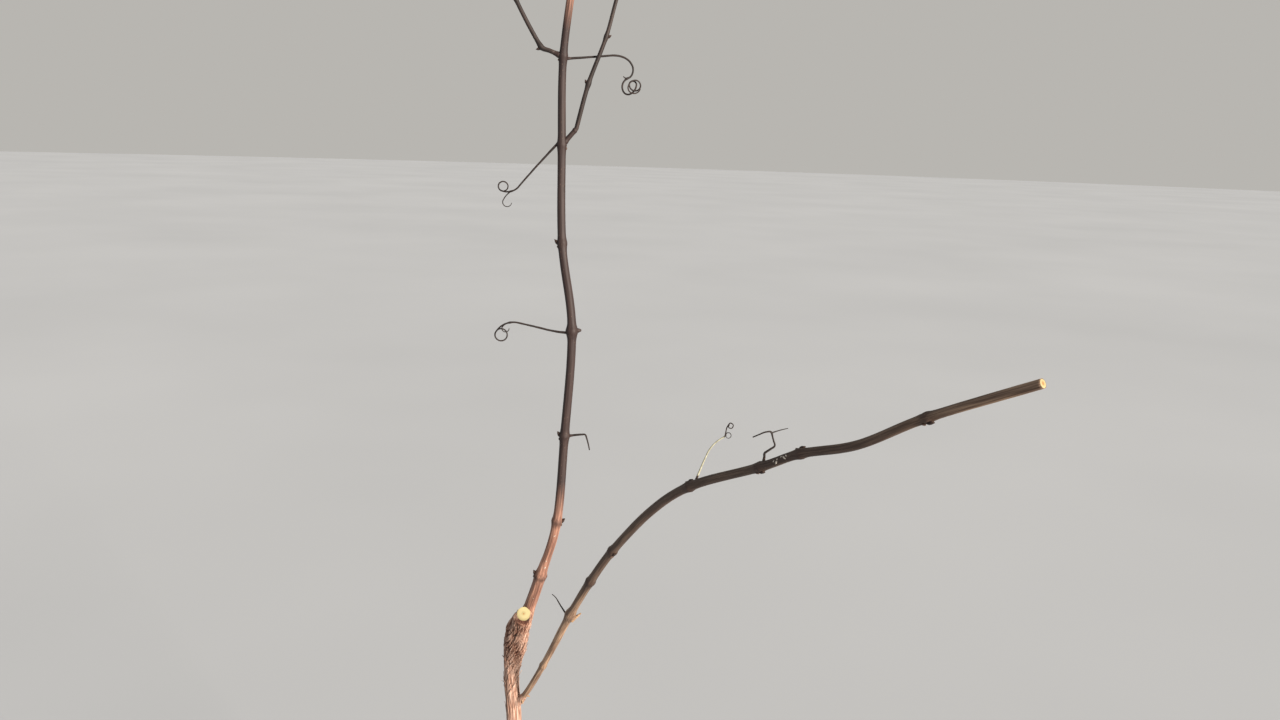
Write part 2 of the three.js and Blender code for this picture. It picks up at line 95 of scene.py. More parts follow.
def add_node(tree, kind, inputs=(), stops=(), **settings):
    """Adds a node with its settings, fills or links its inputs, and gives a colour ramp its stops."""
    made = tree.nodes.new("ShaderNode" + kind)
    for name, value in settings.items():
        setattr(made, name, value)
    for name, value in dict(inputs).items():
        if isinstance(value, bpy.types.NodeSocket):
            tree.links.new(value, made.inputs[name])
        else:
            made.inputs[name].default_value = value
    for i, (place, value) in enumerate(stops):
        ends = made.color_ramp.elements
        stop = ends[i] if i < 2 else ends.new(place)
        stop.position, stop.color = place, colour(value)
    return made


def new_material(name, roughness, specular=0.35):
    """A material's tree and its shader, whose constants are set on the shader itself."""
    material = bpy.data.materials.new(name)
    material.use_nodes = True
    tree = material.node_tree
    shader = tree.nodes["Principled BSDF"]
    shader.inputs["Roughness"].default_value = roughness
    shader.inputs["Specular IOR Level"].default_value = specular
    return material, tree, shader


# %% [markdown]
# Floor and light
#
# A pale floor and a pale surround show the thin dark wood against nothing. The photo has a low warm sun
# from the right and a cool shaded left, so a warm softbox lights the right side and a weak cool one the
# left. Area lamps near the vine would leave bright pools on the floor. A sun lamp with a wide disc is a
# softbox far away: it lights the floor evenly, and its wide disc keeps the shadows soft.

# %% Floor
FLOOR_RADIUS = 60  # m, so that its edge is lost in the distance
PAINT_GRIT = 40  # patches to the metre


def place_mesh(bm, name, material=None):
    """Turns a finished bmesh into an object in the scene."""
    mesh = bpy.data.meshes.new(name)
    bm.to_mesh(mesh)
    bm.free()
    if material:
        mesh.materials.append(material)
    made = bpy.data.objects.new(name, mesh)
    scene.collection.objects.link(made)
    return made


def matt_studio_paint():
    material, tree, shader = new_material("matt_studio_paint", roughness=1, specular=0)
    grit = add_node(tree, "TexNoise", {"Scale": PAINT_GRIT, "Detail": 3})
    shade = add_node(tree, "ValToRGB", {"Fac": grit.outputs["Fac"]}, [(0.3, "#B0B4B8"), (0.7, "#B6BABE")])
    tree.links.new(shade.outputs["Color"], shader.inputs["Base Color"])
    return material


def studio_floor():
    bm = bmesh.new()
    bmesh.ops.create_circle(bm, cap_ends=True, segments=96, radius=FLOOR_RADIUS)
    place_mesh(bm, "floor", matt_studio_paint())


studio_floor()
print("floor", FLOOR_RADIUS * 2, "m wide")

# %% Light
SURROUND_COLOUR = "#E4E1DB"
SURROUND_STRENGTH = 0.62
LAMP_DISTANCE = 5  # m, only for the eye: a sun lamp shines alike from anywhere


def far_softbox(name, bearing, elevation, strength, width, tint):
    """Light from a wide disc far away. Its bearing is from the camera, and its angles are in degrees."""
    light = bpy.data.lights.new(name, "SUN")
    light.angle = math.radians(width)
    light.energy = strength
    light.color = colour(tint)[:3]
    lamp = bpy.data.objects.new(name, light)
    scene.collection.objects.link(lamp)
    tilt = Matrix.Rotation(math.radians(-elevation), 3, "X")
    way = Matrix.Rotation(CAMERA_HEADING - math.radians(bearing), 3, "Z") @ tilt @ Vector((0, -1, 0))
    lamp.location = way * LAMP_DISTANCE
    lamp.rotation_euler = way.to_track_quat("Z", "Y").to_euler()
    print(name, "from", bearing, "degrees, height", elevation)


def pale_surround():
    world = bpy.data.worlds.new("pale_surround")
    world.use_nodes = True
    background = world.node_tree.nodes["Background"]
    background.inputs["Color"].default_value = colour(SURROUND_COLOUR)
    background.inputs["Strength"].default_value = SURROUND_STRENGTH
    scene.world = world
    scene.view_settings.view_transform = "Standard"


far_softbox("warm_key", bearing=-48, elevation=13, strength=10, width=18, tint="#FFF2E4")
far_softbox("cool_fill", bearing=60, elevation=40, strength=0.3, width=70, tint="#D5E4FF")
pale_surround()

# %% [markdown]
# Lines
#
# A vine is a few long lines with wood round them. Each line passes smoothly through one point for each node
# of the wood. Blender's curve objects could carry them, but bark, buds and tendrils all have to ask where
# they are along the wood, so a small line that knows its own length answers that directly.

# %% A line that knows its own length
UP = Vector((0, 0, 1))


def clamp(share):
    return min(1, max(0, share))


def between(a, b, share):
    return a + (b - a) * clamp(share)


def smooth(share):
    return clamp(share) ** 2 * (3 - 2 * clamp(share))


def hump(offset, spread):
    """1 at no offset, falling smoothly to nothing beyond the spread."""
    return math.exp(-((offset / spread) ** 2))


def square(one, other):
    """The part of one direction that is square to another."""
    return (one - other * one.dot(other)).normalized()


class Line:
    """A smooth line through points. A taut one doesn't overshoot where its points are unevenly spaced."""

    def __init__(self, points, steps=16, taut=False):
        points = [Vector(point) for point in points]
        guides = [2 * points[0] - points[1], *points, 2 * points[-1] - points[-2]]
        self.steps = steps
        self.samples = [points[0]]
        for before, here, there, after in zip(guides, guides[1:], guides[2:], guides[3:]):
            leave, reach = (there - before) / 6, (after - here) / 6
            most = (there - here).length * (0.34 if taut else 99)
            for pull in (leave, reach):
                pull.length = min(pull.length, most)
            self.samples += interpolate_bezier(here, here + leave, there - reach, there, steps + 1)[1:]
        gaps = [(b - a).length for a, b in zip(self.samples, self.samples[1:])]
        self.lengths = [0, *accumulate(gaps)]
        self.total = self.lengths[-1]
        self.tree = kdtree.KDTree(len(self.samples))
        for i, sample in enumerate(self.samples):
            self.tree.insert(sample, i)
        self.tree.balance()

    def at(self, distance):
        """A point of the line, which runs on straight before its start and after its end."""
        i = min(max(bisect.bisect_left(self.lengths, distance), 1), len(self.lengths) - 1)
        start, end = self.lengths[i - 1 : i + 1]
        return self.samples[i - 1].lerp(self.samples[i], (distance - start) / (end - start))

    def direction(self, distance):
        return (self.at(distance + 1) - self.at(distance - 1)).normalized()

    def node(self, index):
        """How far along the line one of its points lies."""
        return self.lengths[index * self.steps]

    def nearest(self, point):
        """How far along the line the place nearest to a point lies, and how far off it is."""
        _, i, gap = self.tree.find(point)
        found = self.lengths[i]
        for j in range(max(0, i - 1), min(i + 1, len(self.samples) - 1)):
            foot, share = intersect_point_line(point, self.samples[j], self.samples[j + 1])
            if 0 < share < 1 and (foot - point).length < gap:
                gap = (foot - point).length
                found = between(self.lengths[j], self.lengths[j + 1], share)
        return found, gap


# %% [markdown]
# Wood round a line
#
# Bark is a sheet wrapped round the wood, and that is how it is made here: a flat grid is rolled round the
# line and welded along its edge. A cone with moved rings would give the same tube, but a grid can be as
# fine round the limb as the bark's strips need, and it carries the grain with it: each point keeps where it
# lies round and along the limb, so that the patterns of the bark follow every bend.


# %% Roll a sheet of bark round a line
def stations(start, end, spacing, nodes=(), close=1.2, reach=11):
    """Distances where a limb has a ring of points: close together near its nodes, else a spacing apart."""
    found, distance = [start], start
    while distance < end - spacing * 0.5:
        near = min([abs(node - distance) for node in nodes], default=reach)
        distance += between(close, spacing, near / reach)
        found.append(min(distance, end))
    return [*found[:-1], end] if len(found) > 2 else [start, end]


def kept_values(bm):
    """What each point of bark keeps: its place in the grain, the height of its bark and its node's share."""
    vectors, numbers = bm.verts.layers.float_vector, bm.verts.layers.float
    grain = vectors.get("grain") or vectors.new("grain")
    return grain, *(numbers.get(name) or numbers.new(name) for name in ("relief", "node"))


def close_holes(bm, edges):
    bmesh.ops.holes_fill(bm, edges=[edge for edge in edges if edge.is_boundary], sides=0)


def roll_sheet(bm, line, rings, sides, surface):
    """Rolls a grid round a line. surface(distance, angle) gives the radius, the height of the bark from 0
    in a crack to 1 on a strip, and how near a node the point is, from 0 to 1."""
    grain, relief, node = kept_values(bm)
    sheet = bmesh.ops.create_grid(bm, x_segments=sides, y_segments=len(rings) - 1, size=0.5)["verts"]
    first = line.direction(rings[0])
    across = Vector((1, 0, 0)) if abs(first.y) > 0.9 else Vector((0, 1, 0))
    frames = []
    for distance in rings:
        along = line.direction(distance)
        across = square(across, along)
        frames.append((line.at(distance), across, along.cross(across)))
    for vert in sheet:
        ring = round((vert.co.y + 0.5) * (len(rings) - 1))
        angle = round((vert.co.x + 0.5) * sides) % sides * math.tau / sides
        middle, side, over = frames[ring]
        radius, height, nearness = surface(rings[ring], angle)
        vert.co = middle + (side * math.cos(angle) + over * math.sin(angle)) * radius
        vert[grain] = (math.cos(angle) * radius, math.sin(angle) * radius, rings[ring])
        vert[relief] = height
        vert[node] = nearness
    bmesh.ops.remove_doubles(bm, verts=sheet, dist=1e-4)
    kept = [vert for vert in sheet if vert.is_valid]
    close_holes(bm, {edge for vert in kept for edge in vert.link_edges})
    return kept


# %% Make a piece of the plant
MILLIMETRE = 0.001
triangles = {}


def resize(bm, factor):
    bmesh.ops.scale(bm, vec=Vector((1, 1, 1)) * factor, verts=bm.verts)


def finish_piece(bm, name, material, replaces=(), smooth_shaded=True, turn_outwards=True):
    """Brings a mesh to metres, makes it a piece of the plant, and sets it to ride with the plant."""
    resize(bm, MILLIMETRE)
    if turn_outwards:
        bmesh.ops.recalc_face_normals(bm, faces=bm.faces)
    for face in bm.faces:
        face.smooth = smooth_shaded
    triangles[name] = sum(len(face.verts) - 2 for face in bm.faces)
    print(name, triangles[name], "triangles")
    piece = place_mesh(bm, name, material)
    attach(piece, "root")
    if replaces:
        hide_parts(*replaces)


# %% [markdown]
# Bark of the old wood
#
# The bark of a vine's trunk is dry and fibrous. It splits lengthwise into strips that weather to a pinkish
# brown, with dark brown cracks between them, and it has no gloss. The colour follows the height of the
# bark: dark in the cracks, pale on the strips. The fine fibres are a noise pulled out along the trunk. A
# wave texture would draw them too, but it repeats too evenly for bark.

# %% Trunk bark
FIBRE_WIDTH = 1.1  # mm, drawn a little coarser than life so that it shows
FIBRE_LENGTH = 22
WEATHERED_PATCH = 28
MULTIPLIED = dict(data_type="RGBA", blend_type="MULTIPLY")


def per_metre(millimetres):
    """The texture scale that gives a pattern of this size on coordinates in metres."""
    return 1 / (millimetres * MILLIMETRE)


def shaggy_trunk_bark():
    material, tree, shader = new_material("shaggy_trunk_bark", roughness=0.93, specular=0.2)
    place = add_node(tree, "TexCoord")
    relief = add_node(tree, "Attribute", attribute_name="relief")
    stretch = (per_metre(FIBRE_WIDTH), per_metre(FIBRE_WIDTH), per_metre(FIBRE_LENGTH))
    pulled = add_node(tree, "Mapping", {"Vector": place.outputs["Object"], "Scale": stretch})
    fibres = add_node(tree, "TexNoise", {"Vector": pulled.outputs[0], "Scale": 1, "Detail": 5})
    broad = {"Vector": place.outputs["Object"], "Scale": per_metre(WEATHERED_PATCH)}
    patches = add_node(tree, "TexNoise", broad)
    browns = [(0.04, "#2A1811"), (0.28, "#694538"), (0.52, "#9B7765"), (0.92, "#BFA292")]
    strips = add_node(tree, "ValToRGB", {"Fac": relief.outputs["Fac"]}, browns)
    shades = [(0.32, "#6A5348"), (0.62, "#FFFFFF")]
    dark = add_node(tree, "ValToRGB", {"Fac": fibres.outputs["Fac"]}, shades)
    lined = add_node(tree, "Mix", {0: 0.85, 6: strips.outputs[0], 7: dark.outputs[0]}, **MULTIPLIED)
    turn_grey = {"Value": patches.outputs["Fac"], 1: 0.5, 2: 0.72, 3: 0, 4: 0.45}
    weathered = add_node(tree, "MapRange", turn_grey)
    grey = add_node(tree, "Mix", {0: weathered.outputs[0], 6: lined.outputs[2], 7: colour("#8E7B70")},
                    data_type="RGBA")
    tree.links.new(grey.outputs[2], shader.inputs["Base Color"])
    bump = add_node(tree, "Bump", {"Height": fibres.outputs["Fac"], "Strength": 0.7, "Distance": 0.0008})
    tree.links.new(bump.outputs[0], shader.inputs["Normal"])
    return material


trunk_bark = shaggy_trunk_bark()
print("finish", trunk_bark.name)

# %% [markdown]
# Bark of the ripe canes
#
# Last summer's canes have ripened to a thin, tight, dull brown bark with fine lines along it, darker at the
# nodes and dotted with small pale pores. Its own warm brown shows at the foot of a cane; over the middle it
# is mixed towards a dark slate as painted shade, which mostly fades again towards the young end. A pattern on
# the object's coordinates would run straight where the cane bends, so it reads the grain that was kept while
# the sheet was rolled, and its lines follow each bend.
# A tendril's bark is the same, without the pores.

# %% Cane bark
LINE_WIDTH = 0.8  # mm, of the fine lines along a cane, drawn coarser than life
LINE_LENGTH = 30
BANDS_PER_MM = (0.12, 0.12, 0.018)  # paler and darker bands, some 8 mm wide and 56 mm long
PORE_SPACING = 2.6  # mm round the cane between the small pale pores, which lie further apart along it
# Painted shade: the dark slate that the canes' bark is mixed towards over their middles
PAINTED_SHADE_SLATE = "#221D20"


def ripe_cane_bark(name, dull, bright, knot, pores=0.12, painted_shade=0.0, shade_in=(0, 1), shade_out=(2000, 2001)):
    """Cane bark between a dull and a bright brown, darker at its nodes. Over one stretch, given in
    millimetres along the cane, a painted shade of dark slate is mixed in, and over another it mostly fades."""
    material, tree, shader = new_material(name, roughness=0.62, specular=0.3)
    grain = add_node(tree, "Attribute", attribute_name="grain")
    node = add_node(tree, "Attribute", attribute_name="node")
    relief = add_node(tree, "Attribute", attribute_name="relief")
    fine = (1 / LINE_WIDTH, 1 / LINE_WIDTH, 1 / LINE_LENGTH)
    pulled = add_node(tree, "Mapping", {"Vector": grain.outputs["Vector"], "Scale": fine})
    lines = add_node(tree, "TexNoise", {"Vector": pulled.outputs[0], "Scale": 1, "Detail": 4})
    broad = add_node(tree, "Mapping", {"Vector": grain.outputs["Vector"], "Scale": BANDS_PER_MM})
    bands = add_node(tree, "TexNoise", {"Vector": broad.outputs[0], "Scale": 1, "Detail": 3})
    browns = add_node(tree, "ValToRGB", {"Fac": bands.outputs["Fac"]}, [(0.35, dull), (0.68, bright)])
    shades = [(0.33, "#7E6A60"), (0.6, "#FFFFFF")]
    streak = add_node(tree, "ValToRGB", {"Fac": lines.outputs["Fac"]}, shades)
    parts = add_node(tree, "SeparateXYZ", {"Vector": grain.outputs["Vector"]})
    # Painted shade: rise, fall and their minimum give each point's share of the dark slate, which comes in
    # over the first stretch and mostly fades over the second
    stretches = ((*shade_in, 0, painted_shade), (*shade_out, painted_shade, painted_shade * 0.3))
    ends = [dict(zip((1, 2, 3, 4), stretch)) for stretch in stretches]
    rise, fall = (add_node(tree, "MapRange", {"Value": parts.outputs["Z"], **stretch}) for stretch in ends)
    height = add_node(tree, "Math", {0: rise.outputs[0], 1: fall.outputs[0]}, operation="MINIMUM")
    shade_mixed = add_node(tree, "Mix", {0: height.outputs[0], 6: browns.outputs["Color"], 7: colour(PAINTED_SHADE_SLATE)},
                    data_type="RGBA")
    lined = add_node(tree, "Mix", {0: 0.8, 6: shade_mixed.outputs[2], 7: streak.outputs[0]}, **MULTIPLIED)
    ribbed = add_node(tree, "MapRange", {"Value": relief.outputs["Fac"], 1: 0.2, 2: 0.7, 3: 0.5, 4: 0})
    grooved = add_node(tree, "Mix", {0: ribbed.outputs[0], 6: lined.outputs[2], 7: colour(knot)},
                       data_type="RGBA")
    knotted = add_node(tree, "Math", {0: node.outputs["Fac"], 1: 0.65}, operation="MULTIPLY")
    joined = add_node(tree, "Mix", {0: knotted.outputs[0], 6: grooved.outputs[2], 7: colour(knot)},
                      data_type="RGBA")
    sparse = (1 / PORE_SPACING, 1 / PORE_SPACING, 0.45 / PORE_SPACING)
    spread = add_node(tree, "Mapping", {"Vector": grain.outputs["Vector"], "Scale": sparse})
    cells = add_node(tree, "TexVoronoi", {"Vector": spread.outputs[0], "Scale": 1, "Randomness": 1})
    small = {"Value": cells.outputs["Distance"], 1: 0.08, 2: 0.15, 3: pores, 4: 0}
    dots = add_node(tree, "MapRange", small)
    dotted = add_node(tree, "Mix", {0: dots.outputs[0], 6: joined.outputs[2], 7: colour("#C2A58A")},
                      data_type="RGBA")
    tree.links.new(dotted.outputs[2], shader.inputs["Base Color"])
    bump = add_node(tree, "Bump", {"Height": lines.outputs["Fac"], "Strength": 0.5, "Distance": 0.0004})
    tree.links.new(bump.outputs[0], shader.inputs["Normal"])
    return material


# Both canes carry painted shade over their middles, the upright's darker than the bent one's
upright_bark = ripe_cane_bark(
    "upright_cane_bark", dull="#835E50", bright="#CD9C85", knot="#2A1E1C",
    painted_shade=0.95, shade_in=(178, 240), shade_out=(765, 800),
)
arched_bark = ripe_cane_bark(
    "bent_cane_bark", dull="#876D5A", bright="#CBAA8C", knot="#33231E",
    painted_shade=0.8, shade_in=(205, 300), shade_out=(760, 1000),
)
shoot_bark = ripe_cane_bark("side_shoot_bark", dull="#241D1C", bright="#3D312D", knot="#1B1514")
leader_bark = ripe_cane_bark("leader_bark", dull="#70503F", bright="#A98068", knot="#30221D")
tendril_bark = ripe_cane_bark("dry_tendril_bark", dull="#1C1514", bright="#362A26", knot="#181211", pores=0)
barks = (upright_bark, arched_bark, shoot_bark, leader_bark, tendril_bark)
print("finishes", *(bark.name for bark in barks))

# %% [markdown]
# Sawn wood, buds and scars
#
# The saw cut on the head is fresh: pale cream wood with faint rings round a small brown pith, and the fine
# slanting scratches of the saw. The cut end of the bent cane shows the same wood round a wider pith. Buds
# are covered by dull brown scales with a woolly tip. Where a spur has torn, dry pale wood shows. Rings
# could be modelled as fine grooves, but a wave texture centred on each cut costs nothing and stays sharp.
# The other parts are so small that one patchy finish in two tones does for each.

# %% Sawn wood, buds and scars
SAWN_CENTRE = Vector((24, -3, 793))
SAWN_FACING = Vector((0.76, -0.5, 0.42)).normalized()
SAWN_RADIUS = 9
RING_SCALE = 31.25  # of the wave texture, which at this scale draws its rings 10 mm apart
SCRATCH_WIDTH = 0.5  # mm
SCRATCH_LENGTH = 9
SAW_SLANT = 0.6  # radians


def sawn_vine_wood(name, centre, way, pith_radius):
    """Cream wood with rings round a pith, on a cut with this centre that faces this way."""
    material, tree, shader = new_material(name, roughness=0.75, specular=0.25)
    place = add_node(tree, "TexCoord")
    turn = way.to_track_quat("Z", "Y").inverted()
    middle = turn @ (-centre * MILLIMETRE)
    flat = add_node(tree, "Mapping", {"Vector": place.outputs["Object"], "Location": middle,
                                      "Rotation": turn.to_euler()})
    wave = {"Vector": flat.outputs[0], "Scale": RING_SCALE, "Distortion": 3, "Detail": 2}
    rings = add_node(tree, "TexWave", wave, wave_type="RINGS", rings_direction="Z")
    fine = (per_metre(SCRATCH_WIDTH), per_metre(SCRATCH_LENGTH), 1)
    slanted = {"Vector": flat.outputs[0], "Rotation": (0, 0, SAW_SLANT), "Scale": fine}
    scratches = add_node(tree, "Mapping", slanted)
    scratch = add_node(tree, "TexNoise", {"Vector": scratches.outputs[0], "Scale": 1, "Detail": 2})
    wood = add_node(tree, "ValToRGB", {"Fac": rings.outputs["Fac"]}, [(0.1, "#8E845F"), (0.8, "#A0966F")])
    marks = {"Fac": scratch.outputs["Fac"]}
    scored = add_node(tree, "ValToRGB", marks, [(0.35, "#D8C6A8"), (0.6, "#FFFFFF")])
    worn = add_node(tree, "Mix", {0: 0.15, 6: wood.outputs[0], 7: scored.outputs[0]}, **MULTIPLIED)
    level = add_node(tree, "VectorMath", {0: flat.outputs[0], 1: (1, 1, 0)}, operation="MULTIPLY")
    out = add_node(tree, "VectorMath", {0: level.outputs[0]}, operation="LENGTH")
    inner, outer = pith_radius * 0.8 * MILLIMETRE, pith_radius * 1.2 * MILLIMETRE
    fade = {"Value": out.outputs["Value"], 1: inner, 2: outer, 3: 0.8, 4: 0}
    pith = add_node(tree, "MapRange", fade)
    cored = add_node(tree, "Mix", {0: pith.outputs[0], 6: worn.outputs[2], 7: colour("#8A6238")},
                     data_type="RGBA")
    tree.links.new(cored.outputs[2], shader.inputs["Base Color"])
    bump = add_node(tree, "Bump", {"Height": scratch.outputs["Fac"], "Strength": 0.1, "Distance": 0.0002})
    tree.links.new(bump.outputs[0], shader.inputs["Normal"])
    return material


def mottled(name, dark, light, roughness, size):
    """A dull finish that varies between two colours in patches of a size in millimetres."""
    material, tree, shader = new_material(name, roughness, specular=0.25)
    place = add_node(tree, "TexCoord")
    patch = add_node(tree, "TexNoise", {"Vector": place.outputs["Object"], "Scale": per_metre(size)})
    tone = add_node(tree, "ValToRGB", {"Fac": patch.outputs["Fac"]}, [(0.35, dark), (0.68, light)])
    tree.links.new(tone.outputs["Color"], shader.inputs["Base Color"])
    bump = add_node(tree, "Bump", {"Height": patch.outputs["Fac"], "Strength": 0.5, "Distance": 0.0004})
    tree.links.new(bump.outputs[0], shader.inputs["Normal"])
    return material


sawn_wood = sawn_vine_wood("sawn_vine_wood", SAWN_CENTRE, SAWN_FACING, pith_radius=1.1)
bud_scales = mottled("bud_scales", "#1F1614", "#3A2B26", roughness=0.85, size=1.6)
bud_wool = mottled("bud_wool", "#3A2D27", "#5A4A41", roughness=0.95, size=0.8)
torn_wood = mottled("torn_dry_wood", "#7A5F48", "#A68B6F", roughness=0.85, size=2)
fleck_finish = mottled("pale_fleck_finish", "#A29A8E", "#C8C1B7", roughness=0.85, size=1)
dry_scar = mottled("dry_leaf_scar", "#3F302A", "#66544A", roughness=0.9, size=1.2)
straw = mottled("straw_tendril_bark", "#84826F", "#A9A894", roughness=0.75, size=3)

# %% [markdown]
# The trunk
#
# Its middle line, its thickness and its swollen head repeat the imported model's. What the model leaves to
# this file is the bark: long strips with cracks between them, each a little proud of the next. Each strip
# could be modelled apart, but a cell noise stretched along the trunk gives every point the strip that it
# belongs to and how near it is to the strip's edge. On the head the strips are shorter and run askew.

# %% Trunk line and thickness
TRUNK_LINE = [
    (0.5, 0, -10),
    (-7, 5, 140),
    (-11, 7, 330),
    (-5, 3, 500),
    (-1, 1, 620),
    (-5, -1, 695),
    (5, 1, 764),
]
TRUNK_RADIUS = 9.2
TRUNK_FOOT_RADIUS = 13
HEAD_RADIUS = 14.5
HEAD_RISE = (690, 750)
ROOT_FLARE_RADIUS = 27
ROOT_FLARE_HEIGHT = 70
FLARE_FILLED = 0.86  # share of the flare that is wood, since its lobes stand out further

trunk_line = Line(TRUNK_LINE)
print("trunk", round(trunk_line.total), "mm long")


def trunk_radius(distance, angle=0):
    height = trunk_line.at(distance).z
    shaft = between(TRUNK_FOOT_RADIUS, TRUNK_RADIUS, height / HEAD_RISE[0])
    lobes = 1 + 0.22 * math.cos(4 * angle + 1.5) + 0.12 * math.cos(7 * angle)
    flare = (ROOT_FLARE_RADIUS - shaft) * clamp(1 - height / ROOT_FLARE_HEIGHT) ** 2.4 * lobes
    swell = (HEAD_RADIUS - TRUNK_RADIUS) * smooth((height - HEAD_RISE[0]) / (HEAD_RISE[1] - HEAD_RISE[0]))
    return shaft + flare * FLARE_FILLED + swell


# %% Height of the trunk's bark
STRIP_WIDTH = 3.6
STRIP_LENGTH = 52
STRIP_LAYERS = ((1, 0.22, 0.72), (2.2, 0.35, 0.4))  # how much finer, how wide its cracks, its share
BARK_DEPTH = 1.5
WILD_FROM = 718  # mm up, above which the bark's strips turn short, deep and askew
WILD_WITHIN = 40
TWIST_LENGTH = 400  # mm of trunk in which the strips turn by one radian
WILD_TWIST = 0.022  # radians to the millimetre, the other way


def strip_height(x, y, height):
    """How high the bark stands, from 0 to 1, towards a direction from the trunk's middle."""
    wild = smooth((height - WILD_FROM) / WILD_WITHIN)
    above = max(0, height - WILD_FROM)
    wander = noise.noise(Vector((x, y, height / 70))) * between(0.35, 0.5, wild)
    bend = height / TWIST_LENGTH - WILD_TWIST * above + wander
    turned_x = x * math.cos(bend) - y * math.sin(bend)
    turned_y = x * math.sin(bend) + y * math.cos(bend)
    full = 0.15 * noise.noise(Vector((turned_x * 15, turned_y * 15, height / 16)))
    for finer, crack, share in STRIP_LAYERS:
        width, length = STRIP_WIDTH / finer, STRIP_LENGTH / finer
        around = TRUNK_RADIUS / width * between(1, 1.9, wild)
        place = Vector((turned_x * around, turned_y * around, (height + above) / length))
        gaps, cells = noise.voronoi(place)
        own = 0.5 + 0.5 * noise.noise(cells[0] * 7.3)
        full += share * smooth((gaps[1] - gaps[0]) / crack) * (0.45 + 0.55 * own)
    return between(between(0.3, 0, wild), 1, full)


def trunk_dents(x, y, distance):
    return noise.noise(Vector((x, y, distance / 45))) * 0.9


# %% Trunk shaft
SHAFT_SIDES = 120
SHAFT_TOP = 662  # mm along the line, where the head's own mesh has taken over
SHAFT_SINK = 14  # length over which the shaft's bark sinks into the head's
GROUND = 0.05  # mm up, where the flat cut lies


def trunk_surface(distance, angle):
    x, y = math.cos(angle), math.sin(angle)
    height = strip_height(x, y, distance)
    raised = (height - 0.6) * BARK_DEPTH - 1.8 * smooth((distance - SHAFT_TOP + SHAFT_SINK) / SHAFT_SINK)
    return trunk_radius(distance, angle) + trunk_dents(x, y, distance) + raised, height, 0


def cut_flat(bm, place, way):
    """Cuts off all that lies beyond a plane, on the side that it faces, and closes the cut."""
    everything = bm.verts[:] + bm.edges[:] + bm.faces[:]
    bmesh.ops.bisect_plane(bm, geom=everything, plane_co=place, plane_no=way, clear_outer=True)
    close_holes(bm, bm.edges)


def trunk_shaft():
    bm = bmesh.new()
    roll_sheet(bm, trunk_line, stations(0, SHAFT_TOP, 1.9), SHAFT_SIDES, trunk_surface)
    cut_flat(bm, UP * GROUND, -UP)
    skin = BVHTree.FromBMesh(bm)
    finish_piece(bm, "trunk_shaft_bark", trunk_bark, ["trunk"])
    return skin


shaft_skin = trunk_shaft()

# %% [markdown]
# The canes' lines
#
# Last summer's shoots are this winter's canes. Each cane's line starts inside the head and passes through
# one point for each node, and its first stretch is the collar, where it grows out of the old wood. A cane
# could be drawn freely along the picture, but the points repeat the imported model's, so that everything it
# carries falls on that model's limbs.

# %% Canes as lines with a thickness and nodes
SIDE = Vector((0.66, 0.75, 0))  # the way that one of the upright cane's two ranks of buds faces
NODE_SWELL = 0.28
NODE_SPREAD = 7


class Cane:
    """A line with a radius at each distance and the distances of its nodes. Stout nodes swell more than
    the others, each over its own length, and smooth ones have lost their bud and scar. Buds take turns to
    face the ranks' way and the other way."""

    def __init__(self, points, bends, radii, collar, bark, ranks, buds, stout, smooth_nodes=()):
        self.line = Line(points)
        self.radii = radii
        self.collar = collar
        self.bark = bark
        self.ranks = ranks
        self.buds = buds
        self.stout = {self.line.node(i): spread for i, spread in stout.items()}
        self.smooth = [self.line.node(i) for i in smooth_nodes]
        self.nodes = [self.line.node(i) for i in range(1, len(points) - 1) if i not in bends]

    def radius(self, distance):
        for (start, thick), (end, thin) in zip(self.radii, self.radii[1:]):
            if distance <= end:
                return between(thick, thin, (distance - start) / (end - start))
        return self.radii[-1][1]


upright = Cane(
    [
        (3, 5, 758), (17, 11, 796), (43, 9, 849), (74, 10, 930), (80, 15, 1038), (91, 15, 1168),
        (66, 18, 1266), (60, 20, 1377), (59, 21, 1474), (77, 22, 1576), (84, 24, 1682),
    ],
    bends=[1],
    radii=[(0, 7.6), (95, 7), (135, 5.4), (420, 5), (930, 4)],
    collar=50,
    bark=upright_bark,
    ranks=-SIDE,
    buds=dict(size=0.9),
    stout={5: 6.5},
)
arched = Cane(
    [
        (-2, 0, 654), (14, 6, 671), (60, 2, 735), (135, -14, 839), (177, -19, 897), (221, -25, 950),
        (287, -33, 1016), (350, -40, 1063), (444, -48, 1109), (491, -52, 1134), (550, -56, 1157),
        (610, -58, 1193), (695, -60, 1236),
    ],
    bends=[1, 6, 10],
    radii=[(0, 5.2), (28, 3.7), (110, 3.9), (190, 4.5), (300, 4.7), (560, 4.4), (660, 4), (930, 3.5)],
    collar=30,
    bark=arched_bark,
    ranks=Vector((-0.45, 0.3, 0.84)),
    buds=dict(size=0.78, pressed=0.55),
    stout={3: 10},
    smooth_nodes=[2, 3],
)
print("upright cane", round(upright.line.total), "mm, bent cane", round(arched.line.total), "mm")

# %% [markdown]
# The head
#
# The head is old wood that has healed together: a swollen knob, the stub of the old top that was sawn off,
# and the collars of the two canes. Separate tubes would meet in hard creases. Here the rough forms are
# pushed into each other, remeshed into one skin and smoothed, as clay would be, and only then does the bark
# rise on them. A last flat cut gives the sawn face its crisp edge.

# %% Rough forms of the head
HEAD_FOOT = 634  # mm along the trunk's line
STUB_BEYOND = 6  # mm that the stub runs on past the cut, to be cut off


def bare(radius_at):
    """A smooth surface with no bark on it yet."""
    return lambda distance, angle: (radius_at(distance), 0.5, 0)


def collar_radius(cane):
    """A collar that sinks under the cane's own bark at its end."""

    def radius(distance):
        share = distance / cane.collar
        sunk = 0.2 * smooth((share - 0.75) / 0.3)
        return cane.radius(distance) * (between(1.5, 1.06, share / 0.8) - sunk)

    return radius


